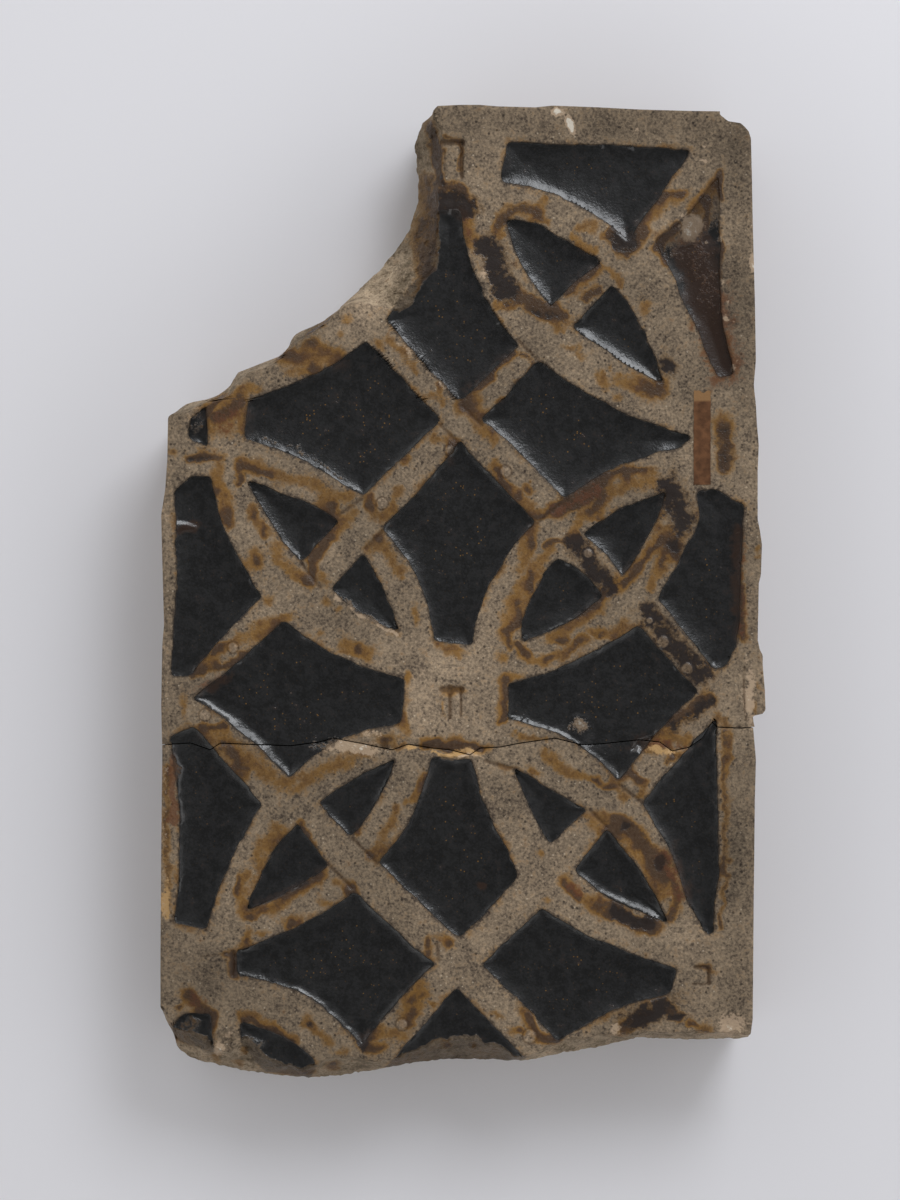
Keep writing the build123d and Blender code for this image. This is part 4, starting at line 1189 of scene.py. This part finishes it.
@dataclass(frozen=True)
class GlazedEarthenware:
    """Lead-glazed earthenware: a coarse buff body, with near-black glass lying in the sunk fields.

    The eye sees a dry, gritty, dull clay, stained olive brown where the glaze thinned out over
    its edges, beside a wet-looking dark glaze that catches the lamp in a soft band. A span says
    where a change begins and ends: an edge in millimetres from the rim of the glaze, negative in
    it, and any other in the strength of what it reads. A cover is how much of a paint shows.
    """

    clay_light: str = "#95836d"
    clay_dark: str = "#463c33"
    grit_dark: str = "#2e2620"
    grit_light: str = "#b3a48f"
    torn_clay: str = "#a8967f"
    torn_dark: str = "#675a49"
    amber_gold: str = "#7d5a26"
    amber_thin: str = "#482c12"
    amber_thick: str = "#382310"
    # Thin glaze over the arris, darker as painted shade on the walls of the fields
    wall_brown_and_shade: str = "#241810"
    rust: str = "#5a3520"
    ochre: str = "#a9885c"
    # Pale clay, also the colour of the painted highlights along lit edges
    pale: str = "#ae9880"
    lime: str = "#d2c9ba"
    glass: str = "#171718"
    glass_deep: str = "#080808"
    glass_brown: str = "#2a1c14"
    sand_size: float = 0.6
    fine_size: float = 0.7
    grain_size: float = 1.3
    grit_size: float = 1.9
    speck_size: float = 1.5
    pit_size: float = 1.0
    mottle_size: float = 2.6
    patch_size: float = 9.0
    cloud_size: float = 24.0
    grain_edge: float = 0.12
    clay_roughness: float = 0.9
    amber_roughness: float = 0.5
    glass_roughness: float = 0.4
    gloss_roughness: float = 0.19
    clay_gloss: float = 0.2
    glass_ior: float = 1.5
    grain_depth: float = 0.16
    torn_depth: float = 0.9
    ripple_depth: float = 0.055
    film_edge: Point = (0.0, 2.6)
    lip_shade_edge: Point = (-0.1, 0.75)
    glass_edge: Point = (-0.35, 0.05)
    middle_edge: Point = (-8.0, -3.0)
    torn_span: Point = (0.01, 0.10)
    bare_span: Point = (0.004, 0.03)
    pitted_span: Point = (0.58, 0.72)
    film_span: Point = (0.05, 0.85)
    thick_span: Point = (0.60, 1.35)
    stain_dark_span: Point = (0.1, 1.3)
    rust_span: Point = (0.35, 1.0)
    ochre_span: Point = (0.35, 0.75)
    pale_and_highlight_span: Point = (0.35, 0.80)
    lime_span: Point = (1.0, 1.3)
    groove_shade_span: Point = (0.10, 0.60)
    disc_span: Point = (0.70, 1.05)
    thin_span: Point = (0.30, 0.85)
    spill_span: Point = (0.26, 0.85)
    film_cover: float = 0.88
    rust_cover: float = 0.7
    pale_and_highlight_cover: float = 0.8
    groove_shade_cover: float = 0.65
    disc_cover: float = 0.55
    lip_shade_cover: float = 0.6

    def build(self) -> bpy.types.Material:
        """Mixes clay, stains and glass by the vertex attributes that the fragments carry.

        Returns:
            The material.
        """
        material = bpy.data.materials.new("glazed_earthenware")
        add = adder(material)
        place = add(Use.PLACE)

        def total(*terms: object) -> bpy.types.NodeSocket:
            """The terms added up."""
            return reduce(partial(add, Use.PLUS), terms)

        def largest(*terms: object) -> bpy.types.NodeSocket:
            """The largest of the terms."""
            return reduce(partial(add, Use.LARGER), terms)

        def product(*terms: object) -> bpy.types.NodeSocket:
            """The terms multiplied."""
            return reduce(partial(add, Use.TIMES), terms)

        def swing(source: object, amount: float) -> bpy.types.NodeSocket:
            """Noise made to swing evenly either side of nought."""
            return product(add(Use.MINUS, source, 0.5), amount)

        def coated(under: object, *coats: tuple[object, object]) -> bpy.types.NodeSocket:
            """A colour with others laid over it in turn, each by its own share."""
            for cover, paint in coats:
                under = add(Use.MIX, cover, under, paint)
            return under

        def grains(size: float, radius: float, kept: float) -> bpy.types.NodeSocket:
            """Separate round grains: the cells of a Voronoi pattern, of which a share is kept."""
            cells = add(Use.CELLS, place, per_metre(size))
            pick = add(Use.RED, cells.node.outputs["Color"])
            inside = add(Use.RAMP, cells, radius, radius + self.grain_edge, 1.0, 0.0)
            return product(inside, add(Use.RAMP, pick, 1 - kept, 1 - kept + 0.05))

        fine, grain, mottle, patch, cloud = (
            add(Use.NOISE, place, per_metre(size), detail, rough)
            for size, detail, rough in (
                (self.fine_size, 2.0, 0.6), (self.grain_size, 4.0, 0.7), (self.mottle_size, 4.0, 0.6),
                (self.patch_size, 3.0, 0.55), (self.cloud_size, 2.0, 0.55)))
        sand = add(Use.GREEN, add(Use.CELLS, place, per_metre(self.sand_size)).node.outputs["Color"])
        panel, share, tone, groove, nub = (
            add(Use.VALUE, attribute_name=name) for name in ("panel", "share", "tone", "groove", "nub"))
        mark = {tint: add(Use.VALUE, attribute_name=tint.value) for tint in Tint}

        # Body: an uneven sandy buff, with sparse dark and light grit, and a paler torn inside
        body = total(swing(sand, 0.36), swing(fine, 1.3), swing(grain, 0.9), swing(mottle, 0.8),
                     swing(patch, 0.8), 0.5)
        pitted = add(Use.RAMP, total(grain, swing(fine, 0.8)), *self.pitted_span, 0.0, 0.5)
        torn = total(body, swing(patch, 1.2), swing(mottle, 1.0))
        torn = add(Use.MIX, torn, self.torn_dark, self.torn_clay)
        clay = coated(
            add(Use.MIX, body, self.clay_dark, self.clay_light),
            (product(grains(self.grit_size, 0.13, 0.42), 0.8), self.grit_dark),
            (product(grains(self.speck_size, 0.10, 0.20), 0.6), self.grit_light),
            (add(Use.RAMP, share, *self.torn_span), coated(torn, (pitted, self.grit_dark))))

        # Film: glaze that thinned out over the edges of the bands, uneven and mottled
        uneven = total(swing(mottle, 1.3), swing(grain, 0.6), swing(fine, 0.5))
        edge = add(Use.RAMP, panel, *self.film_edge, 1.0, 0.0)
        halo = product(edge, total(0.20, swing(patch, 2.4), swing(cloud, 1.6)))
        deep = total(mark[Tint.BROWN], product(mark[Tint.SPILL], 0.8))
        golden = product(mark[Tint.AMBER], total(0.78, product(edge, 0.55)))
        film = total(golden, deep, halo, uneven)
        amber = add(Use.RAMP, film, *self.film_span)
        thick = total(deep, product(film, total(0.20, product(edge, 0.35))), product(uneven, 0.8))
        thick = add(Use.RAMP, thick, *self.thick_span)
        # Darker stain where the film is thicker, and by noise
        stain_darkness = total(product(film, 0.7), swing(mottle, 1.6), swing(patch, 1.4), swing(fine, 0.6),
                         swing(body, -0.7))
        stain = add(Use.MIX, add(Use.RAMP, stain_darkness, *self.stain_dark_span), self.amber_gold, self.amber_thin)
        stain = coated(stain, (thick, self.amber_thick))

        # Other marks on the bands: rust, bare clay, painted highlights along lit edges, lime, painted shade
        # in the cuts, and the nubs with their dark rims
        rust = total(mark[Tint.RUST], swing(mottle, 2.4), swing(fine, 1.2))
        rust = add(Use.RAMP, rust, *self.rust_span)
        ochre = total(mark[Tint.OCHRE], swing(mottle, 1.2), swing(fine, 0.8))
        ochre = add(Use.RAMP, ochre, *self.ochre_span)
        # Pale clay, with the painted highlights along lit edges
        pale = total(mark[Tint.PALE], swing(fine, 1.0), swing(mottle, 1.2))
        pale = add(Use.RAMP, pale, *self.pale_and_highlight_span)
        lime = total(mark[Tint.PALE], swing(fine, 0.8), swing(mottle, 1.4))
        colour = coated(
            clay,
            (product(amber, self.film_cover), stain),
            (product(rust, self.rust_cover), self.rust),
            (ochre, self.ochre),
            (product(pale, self.pale_and_highlight_cover), self.pale),
            (add(Use.RAMP, lime, *self.lime_span), self.lime),
            # Painted shade: the lap lines, cracks and stamped strokes are darkened by their depth
            (add(Use.RAMP, groove, *self.groove_shade_span, 0.0, self.groove_shade_cover), self.amber_thick))
        disc = add(Use.RAMP, total(nub, swing(grain, 0.5)), *self.disc_span, self.disc_cover, 0.0)
        rim = product(add(Use.RAMP, nub, 0.95, 1.15), add(Use.RAMP, nub, 1.2, 1.5, 0.5, 0.0))
        colour = coated(
            colour, (rim, self.amber_thick), (disc, add(Use.MIX, body, self.clay_dark, self.pale)))
        level = total(product(tone, 1.7), 0.97)
        colour = add(Use.SHADE, 1.0, colour, add(Use.GREY, level, level, level))
        # A dark brown band round each field: thin glaze over the arris, and painted shade on the wall
        lip = total(panel, swing(mottle, 2.4), swing(fine, 0.8))
        lip = add(Use.RAMP, lip, *self.lip_shade_edge, 1.0, 0.0)
        colour = coated(colour, (product(lip, self.lip_shade_cover), self.wall_brown_and_shade))

        # Glass in the fields and where it ran over the bands, with bare specks in the middle
        field = total(panel, swing(mottle, 0.8), swing(fine, 0.4))
        thinned = add(Use.RAMP, total(mark[Tint.THIN], uneven), *self.thin_span, 1.0, 0.0)
        field = product(add(Use.RAMP, field, *self.glass_edge, 1.0, 0.0), thinned)
        spill = total(mark[Tint.SPILL], swing(mottle, 1.5), swing(grain, 0.5))
        spill = add(Use.RAMP, spill, *self.spill_span)
        # No glass on pale and ochre clay, nubs and breaks, nor under the painted highlights
        bare = largest(pale, disc, ochre, add(Use.RAMP, share, *self.bare_span))
        glass = product(largest(field, spill), add(Use.MINUS, 1.0, bare))
        middle = product(add(Use.RAMP, panel, *self.middle_edge, 1.0, 0.0),
                         add(Use.RAMP, total(patch, swing(mottle, 1.0)), 0.46, 0.62))
        specks = product(grains(self.pit_size, 0.13, 0.50), largest(middle, 0.06))
        brown = product(mark[Tint.AMBER], add(Use.RAMP, mottle, 0.40, 0.58, 0.0, 0.8))
        rusty = add(Use.RAMP, total(mark[Tint.RUST], swing(mottle, 1.4)), 0.10, 0.60)
        blotch = add(Use.RAMP, total(fine, swing(mottle, 0.8)), 0.35, 0.65)
        tinted = coated(
            add(Use.MIX, blotch, self.glass_deep, self.glass),
            (largest(brown, rusty), self.glass_brown),
            (product(spill, 0.5), self.glass_brown),
            (product(specks, 0.7), self.amber_gold))
        colour = coated(colour, (glass, tinted))

        # Gloss of the glass and, weakly, of the thick film, dulled by specks and rust
        worn = product(largest(specks, rust), 0.6)
        gloss = product(largest(glass, product(thick, 0.3)), add(Use.MINUS, 1.0, worn),
                        add(Use.RAMP, total(patch, swing(mottle, 0.8)), 0.36, 0.60, 0.65, 1.0))
        dull = add(Use.BLEND, largest(amber, lip), self.clay_roughness, self.amber_roughness)
        roughness = add(Use.BLEND, glass, dull, self.glass_roughness)

        grit_rise = product(total(grain, fine), self.grain_depth)
        glass_rise = product(total(mottle, fine), self.ripple_depth)
        torn_rise = product(total(mottle, grain), self.torn_depth)
        whole_rise = add(Use.BLEND, glass, grit_rise, glass_rise)
        rise = add(Use.BLEND, add(Use.RAMP, share, *self.torn_span), whole_rise, torn_rise)
        bump = add(Use.BUMP, rise, METRE, 1.0)
        shader = add(Use.SHADER, colour, roughness, self.clay_gloss, bump, self.glass_ior,
                     gloss, self.gloss_roughness, self.glass_ior, bump)
        add(Use.SURFACE, shader)
        return material


@dataclass(frozen=True)
class AgedPaper:
    """Old rag paper soaked with paste: brown, matt and fibrous, and pale where it is torn."""

    brown: str = "#67452c"
    dark: str = "#472d1a"
    torn: str = "#80603f"
    fibre_size: float = 0.5
    fibre_depth: float = 0.05
    blotch_size: float = 2.4
    torn_from: float = 82.6
    torn_run: float = 0.6
    roughness: float = 0.85
    gloss: float = 0.25

    def build(self) -> bpy.types.Material:
        """Blotches the paper, and lightens it past the tear.

        Returns:
            The material.
        """
        material = bpy.data.materials.new("aged_paper")
        add = adder(material)
        place = add(Use.PLACE)
        blotch = add(Use.NOISE, place, per_metre(self.blotch_size), 4.0)
        fibre = add(Use.NOISE, place, per_metre(self.fibre_size), 3.0)
        start, end = self.torn_from * METRE, (self.torn_from + self.torn_run) * METRE
        colour = add(Use.MIX, add(Use.LINE, blotch, 0.35, 0.65), self.brown, self.dark)
        colour = add(Use.MIX, add(Use.LINE, add(Use.ALONG, place), start, end), colour, self.torn)
        bump = add(Use.BUMP, fibre, self.fibre_depth * METRE)
        add(Use.SURFACE, add(Use.SHADER, colour, self.roughness, self.gloss, bump))
        return material


@dataclass
class Studio:
    """A pale table, a soft lamp and a broad glow on one side, and a camera that looks straight down."""

    view_x: float = -2.1
    view_y: float = 27.2
    view_height: float = 336.0
    camera_rise: float = 1400.0
    sensor: float = 36.0
    floor_half: float = 2500.0
    floor_colour: str = "#dedde1"
    floor_roughness: float = 0.7
    lamp_distance: float = 1150.0
    lamp_size: float = 470.0
    lamp_zenith: float = 42.0
    lamp_bearing: float = 62.0
    lamp_tint: tuple[float, float, float] = (0.93, 0.96, 1.0)
    lamp_watts: float = 4.7
    glow_zenith: float = 66.0
    glow_bearing: float = 62.0
    glow_level: float = 1.42
    glow_full: float = 0.95
    fill_level: float = 1.0
    overhead_share: float = 0.17
    overhead_from: float = 0.60
    overhead_to: float = 0.84

    def floor(self) -> bpy.types.Object:
        """A flat pale sheet, plain and matt."""
        side = np.linspace(-self.floor_half, self.floor_half, 3) * METRE
        gx, gy = np.meshgrid(side, side)
        vertices = np.stack((gx.ravel(), gy.ravel(), np.zeros(gx.size)), axis=1)
        quads = cells_of(np.arange(gx.size).reshape(gx.shape))
        sheet = new_object("studio_floor", vertices, quads.tolist(), sharp=30.0)
        material = bpy.data.materials.new("pale_table")
        add = adder(material)
        add(Use.SURFACE, add(Use.SHADER, self.floor_colour, self.floor_roughness))
        sheet.data.materials.append(material)
        return sheet

    @staticmethod
    def towards(zenith: float, bearing: float) -> Vector:
        """The direction at an angle from straight up and a bearing from the x axis, in degrees."""
        lean, turn = math.radians(zenith), math.radians(bearing)
        return Vector((math.sin(lean) * math.cos(turn), math.sin(lean) * math.sin(turn), math.cos(lean)))

    def lamp(self) -> bpy.types.Object:
        """The soft lamp, turned to face the tile."""
        way = self.towards(self.lamp_zenith, self.lamp_bearing)
        data = bpy.data.lights.new("window_lamp", "AREA")
        data.shape = "SQUARE"
        data.size = self.lamp_size * METRE
        data.energy = self.lamp_watts
        data.color = self.lamp_tint
        lamp = bpy.data.objects.new("window_lamp", data)
        lamp.location = Vector((self.view_x, self.view_y, 0.0)) * METRE + way * self.lamp_distance * METRE
        lamp.rotation_euler = (-way).to_track_quat("-Z", "Y").to_euler()
        bpy.context.scene.collection.objects.link(lamp)
        return lamp

    def world(self) -> None:
        """Fill from all round, brighter towards the glow and dim straight above."""
        world = bpy.data.worlds.new("studio_air")
        add = adder(world)
        way = add(Use.WAY)
        facing = add(Use.FACING, way, self.towards(self.glow_zenith, self.glow_bearing))
        level = add(Use.RAMP, facing, 0.0, self.glow_full, self.fill_level, self.glow_level)
        height = add(Use.HEIGHT, way)
        dim = add(Use.LINE, height, self.overhead_from, self.overhead_to, 1.0, self.overhead_share)
        add(Use.SKY, add(Use.AIR, (1.0, 1.0, 1.0, 1.0), add(Use.TIMES, level, dim)))
        bpy.context.scene.world = world

    def camera(self) -> bpy.types.Object:
        """A long lens over the tile. The frame is view_height tall at the face."""
        data = bpy.data.cameras.new("overhead_camera")
        data.sensor_width = self.sensor
        data.lens = self.sensor * self.camera_rise / self.view_height
        camera = bpy.data.objects.new("overhead_camera", data)
        camera.location = Vector((self.view_x, self.view_y, FACE_Z + self.camera_rise)) * METRE
        bpy.context.scene.collection.objects.link(camera)
        bpy.context.scene.camera = camera
        return camera

    def build(self) -> None:
        """Sets the whole studio up."""
        self.floor()
        self.lamp()
        self.world()
        self.camera()
        bpy.context.scene.view_settings.view_transform = "Standard"


def dress(piece: bpy.types.Object, node: str, material: bpy.types.Material) -> None:
    """Gives a piece its material and says which node it stands for."""
    piece.data.materials.append(material)
    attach(piece, "root")
    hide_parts(node)
    LOG.info("%s: %d faces, for %s", piece.name, len(piece.data.polygons), node)


def main() -> None:
    """Builds the fragments, the slip and the studio, in that order."""
    logging.basicConfig(level=logging.INFO, format="%(name)s: %(message)s")
    interlace = Interlace()
    earthenware = GlazedEarthenware().build()
    fragments = (
        UpperFragment("upper_fragment_glazed", "upper_fragment", columns=260, rows=280, middle=(20.0, 50.0)),
        LowerFragment("lower_fragment_glazed", "lower_fragment", columns=332, rows=184, middle=(0.0, -55.0)),
    )
    for fragment in fragments:
        dress(fragment.mesh(interlace), fragment.node, earthenware)
    slip = PaperSlip()
    dress(slip.mesh(), slip.node, AgedPaper().build())
    Studio().build()


if __name__ == "__main__":
    main()
